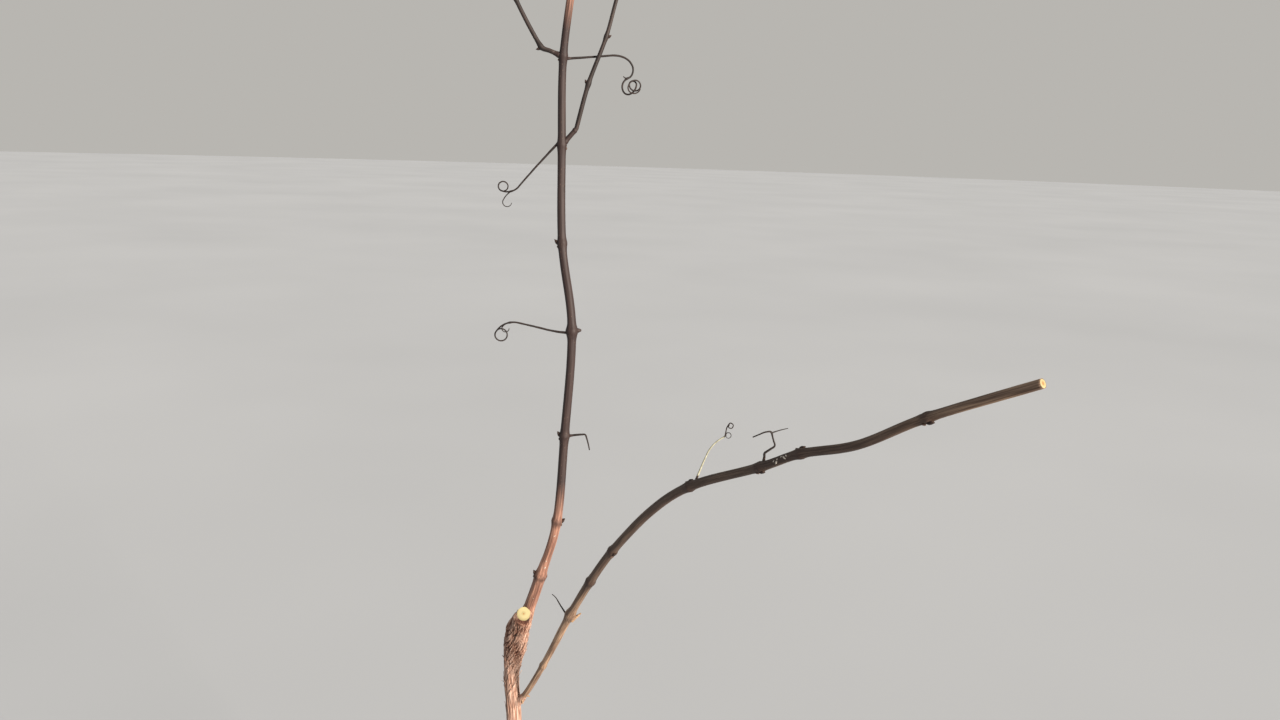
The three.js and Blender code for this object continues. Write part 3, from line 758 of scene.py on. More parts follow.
def rough_head():
    bm = bmesh.new()
    top = trunk_line.total
    roll_sheet(bm, trunk_line, stations(HEAD_FOOT, top, 3), 48, bare(trunk_radius))
    crown = Matrix.Translation(trunk_line.at(top)) @ Matrix.Diagonal((1, 1, 0.9, 1))
    bmesh.ops.create_uvsphere(bm, u_segments=40, v_segments=24, radius=HEAD_RADIUS, matrix=crown)
    stub = Line([trunk_line.at(top), SAWN_CENTRE + SAWN_FACING * STUB_BEYOND])

    def stub_radius(distance):
        return between(HEAD_RADIUS, SAWN_RADIUS + 0.4, distance / (stub.total - STUB_BEYOND))

    roll_sheet(bm, stub, stations(0, stub.total, 3), 40, bare(stub_radius))
    for cane in (upright, arched):
        roll_sheet(bm, cane.line, stations(0, cane.collar + 3, 3), 32, bare(collar_radius(cane)))
    resize(bm, MILLIMETRE)
    return place_mesh(bm, "rough_head")


# %% Weld the head into one skin
HEAD_SKIN = 0.75  # mm, the size of a face after remeshing
SMOOTHING_ROUNDS = 7


def welded_head():
    rough = rough_head()
    weld = rough.modifiers.new("weld", "REMESH")
    weld.mode = "VOXEL"
    weld.voxel_size = HEAD_SKIN * MILLIMETRE
    ease = rough.modifiers.new("ease", "SMOOTH")
    ease.iterations = SMOOTHING_ROUNDS
    depsgraph = bpy.context.evaluated_depsgraph_get()
    skin = bpy.data.meshes.new_from_object(rough.evaluated_get(depsgraph))
    bm = bmesh.new()
    bm.from_mesh(skin)
    bpy.data.objects.remove(rough)
    resize(bm, 1 / MILLIMETRE)
    return bm


# %% Raise the head's bark
def youth(point):
    """1 on the young bark of a cane's collar, falling to 0 where the old wood begins."""
    share = 0
    for cane in (upright, arched):
        along, gap = cane.line.nearest(point)
        if gap < cane.radius(along) * 1.7:
            share = max(share, smooth((along / cane.collar - 0.3) / 0.5))
    return share


def raise_bark(bm):
    """Moves each point of the head out along its normal by the height of the bark there. At its foot the
    head's bark repeats the shaft's and sinks under it, and on the collars it thins out."""
    grain, relief, _ = kept_values(bm)
    bm.normal_update()
    moves = []
    for vert in bm.verts:
        distance, _ = trunk_line.nearest(vert.co)
        outward = square(vert.co - trunk_line.at(distance), UP)
        x, y = outward.y, -outward.x  # as the shaft's sheet was rolled
        level = vert.co.z - HEAD_RISE[0]
        height = strip_height(x, y, between(distance, vert.co.z, level / 20) + 12 * clamp(level / 20))
        young = youth(vert.co)
        vert[relief] = between(height, 0.62, young * 0.8)
        vert[grain] = vert.co
        lift = (height - 0.6) * BARK_DEPTH * between(0.8, 1.35, (distance - WILD_FROM) / 30)
        lift += trunk_dents(x, y, distance) + between(-1.1, 0.25, (distance - HEAD_FOOT) / 16)
        moves.append(vert.normal * lift * (1 - 0.85 * young))
    for vert, move in zip(bm.verts, moves):
        vert.co += move


def trunk_head():
    bm = welded_head()
    raise_bark(bm)
    cut_flat(bm, SAWN_CENTRE - SAWN_FACING * 0.25, SAWN_FACING)
    skin = BVHTree.FromBMesh(bm)
    finish_piece(bm, "trunk_head_bark", trunk_bark, ["trunk"])
    return skin


head_skin = trunk_head()


# %% Sawn face
FACE_THICKNESS = 0.55
FACE_SUNK = 0.5
FACE_BEVEL = 0.18


def sawn_face(name, centre, way, radius, material):
    """A thin disc of bare wood, a little out of round, let into the cut."""
    bm = bmesh.new()
    disc = bmesh.ops.create_circle(bm, cap_ends=True, segments=56, radius=radius)["verts"]
    for vert in disc:
        vert.co *= 1 + 0.06 * noise.noise(vert.co * 0.25 + Vector((4, 0, 0)))
    raised = bmesh.ops.extrude_face_region(bm, geom=bm.faces[:])["geom"]
    lifted = [part for part in raised if isinstance(part, bmesh.types.BMVert)]
    bmesh.ops.translate(bm, vec=UP * FACE_THICKNESS, verts=lifted)
    rim = [edge for edge in bm.edges if all(vert in lifted for vert in edge.verts)]
    bmesh.ops.bevel(bm, geom=rim, offset=FACE_BEVEL, segments=2, affect="EDGES", profile=0.5, material=-1)
    turn = way.to_track_quat("Z", "Y").to_matrix().to_4x4()
    bmesh.ops.transform(bm, matrix=Matrix.Translation(centre - way * FACE_SUNK) @ turn, verts=bm.verts)
    finish_piece(bm, name, material, smooth_shaded=False)


sawn_face("sawn_face", SAWN_CENTRE, SAWN_FACING, SAWN_RADIUS - 0.45, sawn_wood)

# %% [markdown]
# Peeling bark
#
# Old bark comes off a vine in long narrow strips. One end still holds and the other stands off, most on
# the swollen head, where the strips also run askew. Each strip is a small grid laid on the bark: for each
# of its points a ray from outside finds where the trunk's skin is. Sculpted strips would look the same from
# near, but these follow the trunk wherever it leans.

# %% One strip of loose bark
STRIP_ROWS = 9
STRIP_ARCH = 0.25
STRIP_THICKNESS = 0.35
CLEAR_OF_CUT = 14  # mm from the centre of the sawn face


def seeded(seed):
    """The same sequence of numbers from 0 to 1 for the same seed, by the usual linear rule."""
    state = seed
    while True:
        state = (state * 1664525 + 1013904223) % 2**32
        yield state / 2**32


def skin_at(distance, angle):
    """Where the trunk's skin lies in a direction from its line, and that direction."""
    middle = trunk_line.at(distance)
    out = Vector((-math.sin(angle), math.cos(angle), 0))
    hits = [skin.ray_cast(middle + out * 60, -out)[0] for skin in (shaft_skin, head_skin)]
    return max((hit for hit in hits if hit), key=lambda hit: (hit - middle).dot(out), default=None), out


def add_loose_strip(bm, foot, angle, length, width, lean, stand_off, tone):
    """A strip that holds at its foot, leans round the trunk by a share of its length, and stands off."""
    _, relief, _ = kept_values(bm)
    made = bmesh.ops.create_grid(bm, x_segments=2, y_segments=STRIP_ROWS, size=0.5)["verts"]
    for vert in made:
        share, side = vert.co.y + 0.5, vert.co.x * 2
        distance = foot + share * length
        radius = trunk_radius(distance)
        narrow = 1 - 0.8 * share**3 - 0.5 * clamp(1 - share * 8)
        wander = noise.noise(Vector((share * 2, angle * 3, foot / 9))) * 1.6
        around = share * length * lean + side * width / 2 * narrow + wander
        hit, out = skin_at(distance, angle + around / radius)
        on_cane = not hit or (hit - trunk_line.at(distance)).length > radius + 4
        if on_cane or (hit - SAWN_CENTRE).length < CLEAR_OF_CUT:
            bmesh.ops.delete(bm, geom=made, context="VERTS")
            return False
        arch = STRIP_ARCH * (1 - side * side)
        vert.co = hit + out * (arch - 0.3 + 0.5 * share + stand_off * share**3)
        vert[relief] = tone
    return True


# %% All the strips
STRIPS = 230
LOOSE_LENGTHS = (22, 85)  # mm
LOOSE_WIDTHS = (0.8, 3.6)
ON_HEAD = dict(feet=(675, 740), leans=(0.2, 0.7), shorter=0.6)  # feet in mm up the trunk
ON_SHAFT = dict(feet=(30, 675), leans=(-0.08, 0.08), shorter=1)


def peeling_bark():
    bm = bmesh.new()
    draw = seeded(71)
    laid = 0
    for number in range(STRIPS):
        where = ON_SHAFT if number % 3 else ON_HEAD
        foot = between(*where["feet"], next(draw))
        angle = math.tau * next(draw)
        length = between(*LOOSE_LENGTHS, next(draw) ** 2) * where["shorter"]
        width = between(*LOOSE_WIDTHS, next(draw) ** 1.5)
        lean = between(*where["leans"], next(draw))
        stand_off = 5 * next(draw) ** 3 + 0.6 if where is ON_HEAD else 2.5 * next(draw) ** 4 + 0.2
        tone = between(0.55, 1, next(draw))
        laid += add_loose_strip(bm, foot, angle, length, width, lean, stand_off, tone)
    bmesh.ops.solidify(bm, geom=bm.faces[:], thickness=STRIP_THICKNESS)
    print(laid, "loose strips")
    finish_piece(bm, "peeling_bark_strips", trunk_bark, turn_outwards=False)


peeling_bark()

# %% [markdown]
# The canes
#
# A cane is never a plain rod. Fine ribs run along it, it thickens at each node, and on one side of the node
# the wood stands out as a cushion under the bud, with the scar of last summer's leaf below it. The sheet is
# rolled again, with rings close together at the nodes, and these forms are part of its radius.

# %% Cane wood
CANE_SIDES = 44
USUAL_NODE = ((0.62, 0, NODE_SPREAD), (0.38, 1, 2.6))  # share of the swell, mm up the cane, spread


def cane_surface(cane):
    """The radius of a cane's bark at a distance and angle, with its ribs and nodes."""

    def surface(distance, angle):
        x, y = math.cos(angle), math.sin(angle)
        ribs = noise.noise(Vector((x * 3.4, y * 3.4, distance / 55)))
        ribs += 0.6 * noise.noise(Vector((x * 8, y * 8, distance / 38)))
        bow = noise.noise(Vector((x * 0.8, y * 0.8, distance / 60 + 9)))
        nearest_node = min(cane.nodes, key=lambda node: abs(node - distance))
        offset = distance - nearest_node
        humps = USUAL_NODE
        if nearest_node in cane.stout:
            humps = ((0.3, 0, 3.5), (1.4, -1, cane.stout[nearest_node]))
        swell = NODE_SWELL * sum(share * hump(offset - up, spread) for share, up, spread in humps)
        dark = 0.2 if nearest_node in cane.smooth else 1
        lumps = 0.05 * noise.noise(Vector((x * 2.5, y * 2.5, distance / 3))) * hump(offset, NODE_SPREAD)
        radius = cane.radius(distance) * (1 + swell + lumps + 0.035 * bow) + 0.16 * ribs
        return radius, clamp(0.5 + 0.7 * ribs), hump(offset, NODE_SPREAD * 0.8) * dark

    return surface


# %% [markdown]
# Buds and scars
#
# A winter bud is a small cone of two dull scales over a woolly tip. Below it the fallen leaf has left a dry
# half-moon with three dots, where the leaf's strands went in. Buds could be sculpted one by one, but from
# any distance a stretched globe with a drawn point is a bud, and a few of them make every bud and scar.

# %% Globes and their places
def stretched_globe(bm, wide, deep, long, point=0.0, segments=(12, 8)):
    """A globe stretched along Z, with its upper half drawn to a point by a share."""
    made = bmesh.ops.create_uvsphere(bm, u_segments=segments[0], v_segments=segments[1], radius=1)["verts"]
    for vert in made:
        narrow = 1 - point * clamp(vert.co.z) ** 1.5
        vert.co = Vector((vert.co.x * wide * narrow, vert.co.y * deep * narrow, vert.co.z * long))
    return made


def facing(along, outward, at):
    """A turn and move that sets Z along one way, X as far as it goes outward, and the origin at a point."""
    z = along.normalized()
    x = square(outward, z)
    turn = Matrix((x, z.cross(x), z)).transposed().to_4x4()
    return Matrix.Translation(at) @ turn


# %% Buds and leaf scars
BUD_OUT = 4.4
BUD_UP = 6
BUD_SCALE = Vector((2.755, 1.798, 5.4))  # mm, half its width, depth and length
BUD_TIP = Vector((1.45, 1.45, 4.2))
SCALE_TILT = 0.16
SCAR = Vector((0.75, 2.3, 1.5))
STRAND = Vector((0.4, 0.42, 0.4))

scales, wool, scars, torn, fleck_patches = (bmesh.new() for _ in range(5))


def add_bud(at, along, outward, wood, size=1, pressed=0.0):
    """A winter bud: two dull scales that part over a woolly tip, leaning up the wood or pressed to it."""
    root = at + outward * wood * 0.85
    lean = outward * (wood * 0.15 + BUD_OUT * size) * (1 - pressed) + along * BUD_UP * size
    lean.normalize()
    cross = along.cross(outward).normalized()
    for side in (1, -1):
        shell = stretched_globe(scales, *BUD_SCALE * size, 0.72)
        leaning = (lean + cross * side * SCALE_TILT).normalized()
        place = facing(leaning, outward, root + lean * 2.4 * size + cross * side * 0.75 * size)
        bmesh.ops.transform(scales, matrix=place, verts=shell)
    tip = stretched_globe(wool, *BUD_TIP * size, 0.7, (10, 7))
    bmesh.ops.transform(wool, matrix=facing(lean, outward, root + lean * 4.1 * size), verts=tip)


def add_scar(at, along, outward, wood, size=1):
    """The dry half-moon that a leaf stalk leaves under its bud."""
    pad = stretched_globe(scars, *SCAR * size)
    middle = at + outward * wood * 1.16 - along * 3.6 * size
    bmesh.ops.transform(scars, matrix=facing(along + outward * 0.25, outward, middle), verts=pad)
    cross = along.cross(outward).normalized()
    for step in (-1, 0, 1):
        strand = stretched_globe(scars, *STRAND * size, segments=(6, 4))
        place = middle + outward * 0.55 * size + cross * step * 1.1 * size
        bmesh.ops.transform(scars, matrix=Matrix.Translation(place), verts=strand)


# %% [markdown]
# Stumps and tendrils
#
# Side shoots and tendrils leave a cane from short stumps at its nodes. The stump is a little thicker where
# it comes out of the wood, and it closes round the root of what it carries. Where a shoot was torn off, a
# spur of pale wood is left. A tendril is a slim woody whip: it runs straight for a while, hooks over,
# forks, and winds into a coil where it held on to something. A helix would be too even for it, so its line
# is made of stretches that each bend evenly, and a coil drifts sideways so that its turns lie side by side.

# %% Stumps
GAP = 0.3
STUMP_DARKNESS = 1  # as dark as a node
STUMP_STANDS_OUT = 3
STUMP_ROOT = 1.35  # thickest part of a stump, against what it carries
STUMP_SIDES = 20
SPUR_SIDES = 12
TENDRIL_RADIUS = 1.3


def rank(side, up):
    """A direction in the plane of the two ranks of leaves."""
    return Vector((SIDE.x * side, SIDE.y * side, up))


def stump(cane, node, way, beyond=0, stands_out=STUMP_STANDS_OUT, radius=TENDRIL_RADIUS):
    """Root, end and direction of a stump, long enough for what it carries to start clear of the cane."""
    distance = cane.line.node(node) + beyond
    root = cane.line.at(distance)
    direction = Vector(way).normalized()
    wood = cane.radius(distance) * (1 + NODE_SWELL)
    slant = direction.cross(cane.line.direction(distance)).length
    length = max(wood + stands_out, (wood + radius * STUMP_ROOT + 1) / slant)
    return root, root + direction * length, direction


def add_stump(bm, root, end, radius, wood, distance, turns_to=None):
    """A dark stump with fine ribs, thickest where it leaves wood of this radius. Its bark has the tone of
    its distance along the cane. Where its shoot turns at once to another way, a knuckle swells there."""
    grain, relief, node = kept_values(bm)
    way = (end - root).normalized()
    last = end + way * (GAP + 0.9)
    line = Line([root, root.lerp(last, 0.5), last])

    def surface(out, angle):
        left = line.total - out
        ribs = 0.05 * noise.noise(Vector((math.cos(angle) * 3, math.sin(angle) * 3, out / 6)))
        form = between(1.2, 1.02, out / line.total) + 0.25 * hump(out - wood * 1.1, 2.2)
        return radius * (form + ribs - 0.14 * clamp(1 - left / 0.8) ** 2), 0.5 + 4 * ribs, STUMP_DARKNESS

    made = roll_sheet(bm, line, stations(0, line.total, 0.8), STUMP_SIDES, surface)
    if turns_to:
        knuckle = stretched_globe(bm, radius * 1.14, radius * 1.14, radius * 1.6, 0, (24, 18))
        for vert in knuckle:
            vert.co *= 1 + 0.07 * noise.noise(vert.co * 0.6)
            vert[relief] = 0.5
            vert[node] = STUMP_DARKNESS
        along = way + turns_to.normalized() * 1.4
        bmesh.ops.transform(bm, matrix=facing(along, UP.cross(way), end + way * 0.6), verts=knuckle)
        made += knuckle
    for vert in made:
        vert[grain] += UP * distance


def add_spur(bm, root, end, radius):
    """A torn spur: ribbed dry wood that ends in a slanting point."""
    root, end = Vector(root), Vector(end)
    line = Line([root, root.lerp(end, 0.5), end])

    def surface(distance, angle):
        share = distance / line.total
        ribs = 0.22 * noise.noise(Vector((math.cos(angle) * 2, math.sin(angle) * 2, distance / 5)))
        slant = 1 - clamp((share - 0.6 - 0.15 * math.cos(angle)) / 0.45) ** 2
        return radius * (between(1.2, 0.95, share) + ribs) * max(slant, 0.12), 0.5, STUMP_DARKNESS

    return roll_sheet(bm, line, stations(0, line.total, 0.8), SPUR_SIDES, surface)


# %% Tendril lines and wood
TENDRIL_TIP = 0.55
COIL_TURN = 200  # degrees, past which a tendril is wound enough to drift
COIL_DRIFT = 3.2  # mm sideways for each full turn


def tendril_line(start, way, stretches, fineness=2):
    """A line of stretches, each a length and how many degrees it turns down."""
    level = square(way, UP)
    drift = level.cross(UP)
    angle = math.asin(way.z)
    points = [start.copy()]
    wound = 0
    for length, turn in stretches:
        steps = max(2, round(length / 3))
        wound += abs(turn)
        sideways = COIL_DRIFT * abs(turn) / 360 / steps if wound > COIL_TURN else 0
        for _ in range(steps):
            angle -= math.radians(turn / steps)
            step = (level * math.cos(angle) + UP * math.sin(angle)) * length / steps
            points.append(points[-1] + step + drift * sideways)
    return Line(points, fineness)


def add_whip(bm, line, thick, thin, sides=9, spacing=1.6, start=0.0, end=None, knots=()):
    """A slim woody whip that tapers, with a rounded tip and small knots where it forks."""
    end = end or line.total

    def surface(distance, angle):
        share = distance / line.total
        uneven = noise.noise(Vector((math.cos(angle), math.sin(angle), distance / 7 + thick)))
        knot = sum(0.35 * hump(distance - place, 1.8) for place in knots) + 0.12 * hump(distance, 9)
        blunt = math.sqrt(clamp(1.02 - clamp((distance - end + thin) / thin) ** 2))
        return between(thick, thin, share) * (1 + 0.12 * uneven + knot) * blunt, 0.5 + 0.5 * uneven, knot

    rings = stations(start, end - thin, spacing) + [end - thin * 0.5, end]
    return roll_sheet(bm, line, rings, sides, surface)


# %% [markdown]
# What each node carries
#
# Most of these shoots and tendrils show in the picture one by one, so they aren't left to a rule: each is
# written out with its node, its way and its stretches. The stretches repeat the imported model's, so that each
# tendril stays in its own space. The forks are this file's: a thinner arm that leaves the whip at a share of
# its length, turns off by an angle and curls its own way.

# %% What the canes carry
UPRIGHT_TENDRILS = {
    "tendril_low_right": dict(node=4, way=rank(0.98, 0.17), stretches=[(14, 6), (4, 75), (17, 8)]),
    "tendril_middle_left": dict(
        node=5, beyond=-3, way=rank(-1, 0.05), stretches=[(22, -10), (33, 2), (30, 70), (40, 330)],
        forks=[(0.5, 14, [(12, 60), (14, 200)])],
    ),
    "tendril_upper_left": dict(
        node=7, beyond=7, way=rank(-0.68, -0.73), stretches=[(62, 3), (22, -70), (30, -320)],
        forks=[(0.62, -10, [(16, 40), (16, 180)])],
    ),
    "tendril_coiled": dict(
        node=8, beyond=-2, way=(0.53, 0.85, 0.1),
        stretches=[
            (47, -1), (12, 20), (9, 24), (7, 26), (10, 50), (6, 42),
            (8, -38), (10, -55), (9, -85), (13, -65), (7, -95), (7, -95),
            (12, -105), (8, -85), (8, -75), (12, -80), (10, -90), (9, -70),
        ],
        forks=[(0.446, 40, [(5, -30)])],
    ),
    "tendril_high_left": dict(
        node=9, way=rank(-0.9, 0.35), stretches=[(60, 25), (32, 100), (70, 520)],
        forks=[(0.4, -30, [(14, -50), (18, -240)])],
    ),
}
ARCHED_TENDRILS = {
    "tendril_bend_low": dict(
        node=3, beyond=-8, radius=0.9, way=rank(-0.54, 0.84), stretches=[(18, -4), (8, 25)],
    ),
    "tendril_bend_curled": dict(
        node=7, beyond=8, radius=0.9, way=rank(0.31, 0.95), pale_length=46,
        stretches=[(24, 4), (22, 37), (3, -54), (6, 5), (6, 30), (13, 330)],
        forks=[(0.62, -10, [(4, -30), (14, 330)])],
    ),
    "tendril_bend_crooked": dict(
        node=8, beyond=4, radius=1, way=rank(0.1, 0.99),
        stretches=[(2, -17), (3, 64), (8, 1), (4, -74), (9, 5), (4, -75), (6, -25), (8, 0)],
        forks=[(0.59, 100, [(15, 10)])],
    ),
}
SIDE_SHOOTS = {
    "side_shoot_right": dict(
        node=7, way=rank(0.65, 0.76), stands_out=16, turns_to=rank(0.27, 0.96), first=56, length=430,
        climb=0.1, hand=-1, seed=11,
    ),
    "side_shoot_left": dict(
        node=8, way=rank(-0.92, 0.38), first=17, length=360, climb=2.2, hand=-1, seed=23,
    ),
    "side_shoot_top": dict(node=9, way=rank(0.72, 0.6), first=28, length=320, climb=0.7, seed=37),
}
SHOOT_RADIUS = 2.6
SHOOT_INTERNODE = 57
SHOOT_BARE_NODES = 3
LEADER = dict(first=60, length=585, internode=84, bare_nodes=0, climb=0.02, seed=53)
UPRIGHT_SPURS = [dict(node=5, way=rank(0.98, 0.05), stands_out=3, radius=2.6)]
ARCHED_SPURS = [  # root, tip and radius
    ((14, 6, 673), (19, 11, 669), 1.3),
    ((13, 3, 667), (15, 3, 660), 1.1),
    ((135.5, -13, 830), (143, -5, 841), 1.6),
]


# %% Tendrils of the canes
ROOTED = -0.8  # mm, so that what a stump carries starts inside it
PALE_START_SHRINK = 0.8  # how much thinner the rest of a tendril is than its pale first length
ARM_SHARE = 0.75  # thickness of a fork's arm, against the whip there
ARM_TIP = 0.6


def tendril_piece(cane, name, node, way, stretches, radius=TENDRIL_RADIUS, beyond=0, forks=(),
                  pale_length=0):
    """A tendril with its forks, from the stump at its node. Its first length may be pale straw in colour."""
    _, end, direction = stump(cane, node, way, beyond, radius=radius)
    line = tendril_line(end + direction * GAP, direction, stretches, 5)
    tip = radius * TENDRIL_TIP
    knots = [share * line.total for share, _, _ in forks]
    if pale_length:
        pale_start = bmesh.new()
        add_whip(pale_start, line, radius, tip, 9, 0.9, ROOTED, end=pale_length + 0.6, knots=knots)
        finish_piece(pale_start, name + "_pale_start", straw, [name])
        radius *= PALE_START_SHRINK
    bm = bmesh.new()
    add_whip(bm, line, radius, tip, 9, 0.9, start=pale_length or ROOTED, knots=knots)
    for knot, (share, lean, arm) in zip(knots, forks):
        along = line.direction(knot)
        turned = (Matrix.Rotation(math.radians(lean), 3, square(along, UP).cross(UP)) @ along).normalized()
        slim = between(radius, tip, share) * ARM_SHARE
        add_whip(bm, tendril_line(line.at(knot), turned, arm, 5), slim, slim * ARM_TIP, 7, 0.8)
    finish_piece(bm, name + "_whip", tendril_bark, [name])


for cane, tendrils in ((upright, UPRIGHT_TENDRILS), (arched, ARCHED_TENDRILS)):
    for name, settings in tendrils.items():
        tendril_piece(cane, name, **settings)

# %% [markdown]
# Dressing the canes
#
# Each cane's bark starts a little inside its collar, so that no joint shows there. The stumps are part of
# the cane's own piece. Buds, woolly tips and scars could each be an object, but there are dozens, so each
# kind is one joined piece for the whole plant. So are the torn spurs and the small pale flecks on the canes.

# %% Nodes of the canes
def dress_nodes(cane, grown_out):
    """A scar at each node that isn't worn smooth, and a bud where it hasn't grown out."""
    for number, distance in enumerate(cane.nodes):
        if distance in cane.smooth:
            continue
        along = cane.line.direction(distance)
        outward = square(cane.ranks, along) * (-1 if number % 2 else 1)
        node = (cane.line.at(distance), along, outward, cane.radius(distance))
        add_scar(*node)
        if distance not in grown_out:
            add_bud(*node, **cane.buds)


grown = [upright.line.node(thing["node"]) for thing in [*SIDE_SHOOTS.values(), *UPRIGHT_SPURS]]
dress_nodes(upright, grown)
dress_nodes(arched, [])
print(len(upright.nodes) + len(arched.nodes), "nodes dressed")

# %% Cane pieces
RING_SPACING = 2.6  # mm between a cane's rings of points, away from its nodes
NODE_REACH = 12  # mm beyond a length of cane within which a node still closes its rings up


def cane_piece(cane, name, start, end, carried, spurs=()):
    """A length of a cane with the stumps of what it carries, and with spurs that its bark covers."""
    bm = bmesh.new()
    nodes = [node for node in cane.nodes if start - NODE_REACH < node < end + NODE_REACH]
    roll_sheet(bm, cane.line, stations(start, end, RING_SPACING, nodes), CANE_SIDES, cane_surface(cane))
    for settings in carried:
        own = {key: settings[key] for key in ("node", "way", "beyond", "stands_out") if key in settings}
        own["radius"] = settings.get("radius", SHOOT_RADIUS if "seed" in settings else TENDRIL_RADIUS)
        distance = cane.line.node(own["node"]) + own.get("beyond", 0)
        root, tip, _ = stump(cane, **own)
        if start <= distance < end:
            wood = cane.radius(distance) * (1 + NODE_SWELL * 0.6)
            add_stump(bm, root, tip, own["radius"], wood, distance, settings.get("turns_to"))
    grain, _, _ = kept_values(bm)
    for settings in spurs:
        root, tip, _ = stump(cane, **settings)
        for vert in add_spur(bm, root, tip, settings["radius"]):
            vert[grain] += UP * cane.line.node(settings["node"])
    finish_piece(bm, name + "_bark", cane.bark, [name])


upright_carries = [*UPRIGHT_TENDRILS.values(), *SIDE_SHOOTS.values()]
cane_piece(upright, "upright_cane", upright.collar - 22, upright.line.total, upright_carries, UPRIGHT_SPURS)
arched_ends = [arched.collar - 14, arched.line.node(5), arched.line.node(8), arched.line.total]
for i, name in enumerate(["arched_cane_rise", "arched_cane_bend", "arched_cane_reach"]):
    start = arched_ends[i] - (1 if i else 0)
    cane_piece(arched, name, start, arched_ends[i + 1], ARCHED_TENDRILS.values())

# %% Spurs, flecks and the cut end
FLECKS = [  # the cane, the node before, the share of the way to the next, the way it faces, and its size
    (arched, 8, 0.44, (0.75, -0.66, 0.6), 0.7), (arched, 8, 0.49, (0.75, -0.66, 0.3), 1.1),
    (arched, 8, 0.53, (0.75, -0.66, 0.7), 0.7), (arched, 8, 0.63, (0.75, -0.66, 0.9), 0.7),
    (arched, 8, 0.7, (0.75, -0.66, 0.5), 1.1), (arched, 8, 0.75, (0.75, -0.66, 0.7), 0.8),
    (upright, 2, 0.22, (0.9, -0.4, 0), 0.9), (upright, 2, 0.34, (0.8, -0.6, 0), 0.6),
    (upright, 2, 0.8, (0.9, -0.5, 0), 0.7), (upright, 1, 0.4, (0.8, -0.6, 0), 0.6),
]


def pale_flecks():
    """Small flat pale patches, laid on the canes' bark."""
    for cane, node, share, facing_way, size in FLECKS:
        distance = between(cane.line.node(node), cane.line.node(node + 1), share)
        along = cane.line.direction(distance)
        outward = square(Vector(facing_way), along)
        patch = stretched_globe(fleck_patches, 0.45 * size, 0.85 * size, 2 * size, 0.6, (10, 6))
        askew = along + outward.cross(along) * (share * 40 % 2 - 1)
        place = cane.line.at(distance) + outward * cane.radius(distance) * 0.98
        bmesh.ops.transform(fleck_patches, matrix=facing(askew, outward, place), verts=patch)


for spur in ARCHED_SPURS:
    add_spur(torn, *spur)
pale_flecks()
finish_piece(torn, "torn_spurs", torn_wood)
finish_piece(fleck_patches, "pale_flecks", fleck_finish)
cut_end = arched.line.at(arched.line.total)
cut_way = arched.line.direction(arched.line.total)
cut_wood = sawn_vine_wood("cut_cane_wood", cut_end, cut_way, pith_radius=1.3)
sawn_face("cut_end", cut_end, cut_way, arched.radius(arched.line.total) - 0.3, cut_wood)

# %% [markdown]
# Side shoots and the tip
#
# A side shoot grows by a rule with a fixed seed: the stem steps from node to node, turning a little away
# from each bud, and some buds have grown into twigs. Each twig could be drawn by hand, but most of them are
# above the picture, and a rule with a seed grows them the same each time. The rule and its numbers are the
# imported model's, so the stems fall where its solids are, a little slimmer. This file carries it further:
# the twigs have nodes, buds and fine spurs of their own, and the tendrils fork.

# %% The rule by which the shoots branch
STEP_SHARES = (0.92, 1.08)
ZIGZAG = 0.09  # how far the stem turns away from each bud, as a share of its way
WANDER = 0.1
TWIG_CHANCE = 0.4
TWIG_REACH = (50, 105)
TWIG_SPREAD = 1.1
TWIG_RISE = 0.25
TWIG_BOW = 0.06
TWIG_RADII = (0.6, 0.42)
TIP_RADIUS = 1.2
SHOOT_TENDRIL_REACH = (25, 60)
SHOOT_TENDRIL_HOOK = [(24, 110), (32, 330)]
SHOOT_TENDRIL_LEAN = 0.45
SHOOT_TENDRIL_RADIUS = 1.1
CLEARANCE = 14  # mm that twigs and tendrils keep from other stems
SPACE = 120  # mm from its stem that a twig stays within


def plan_shoot(start, way, first, length, climb, radius, seed, internode=SHOOT_INTERNODE,
               bare_nodes=SHOOT_BARE_NODES, turns_to=None, hand=1):
    """The stem's line and its nodes. It may turn at once from the way of its stump to another way."""
    draw = seeded(seed)
    count = round((length - first) / internode) + 1
    points = [start, start + way * (radius if turns_to else first * 0.3)]
    nodes, along, at = [], (turns_to or way).normalized(), start
    for k in range(1, count + 1):
        usual = first if k == 1 else (length - first) / (count - 1)
        at = at + along * usual * between(*STEP_SHARES, next(draw))
        points.append(at)
        outward = square(SIDE, along) * (hand if k % 2 else -hand)
        nodes.append(dict(at=at, along=along, outward=outward, index=k, chance=next(draw), size=next(draw)))
        sideways = along.cross(outward) * between(-WANDER, WANDER, next(draw))
        along = (along + UP * climb * 0.5**k - outward * ZIGZAG + sideways).normalized()
    return dict(line=Line(points, 8, taut=True), nodes=nodes, radius=radius, bare_nodes=bare_nodes)


def gap_to(point, lines):
    return min((sample - point).length for line in lines for sample in line.samples)


def keeps_clear(line, others):
    start = line.samples[0]
    beyond = [point for point in line.samples if (point - start).length > CLEARANCE]
    return all(gap_to(point, others) > CLEARANCE for point in beyond)


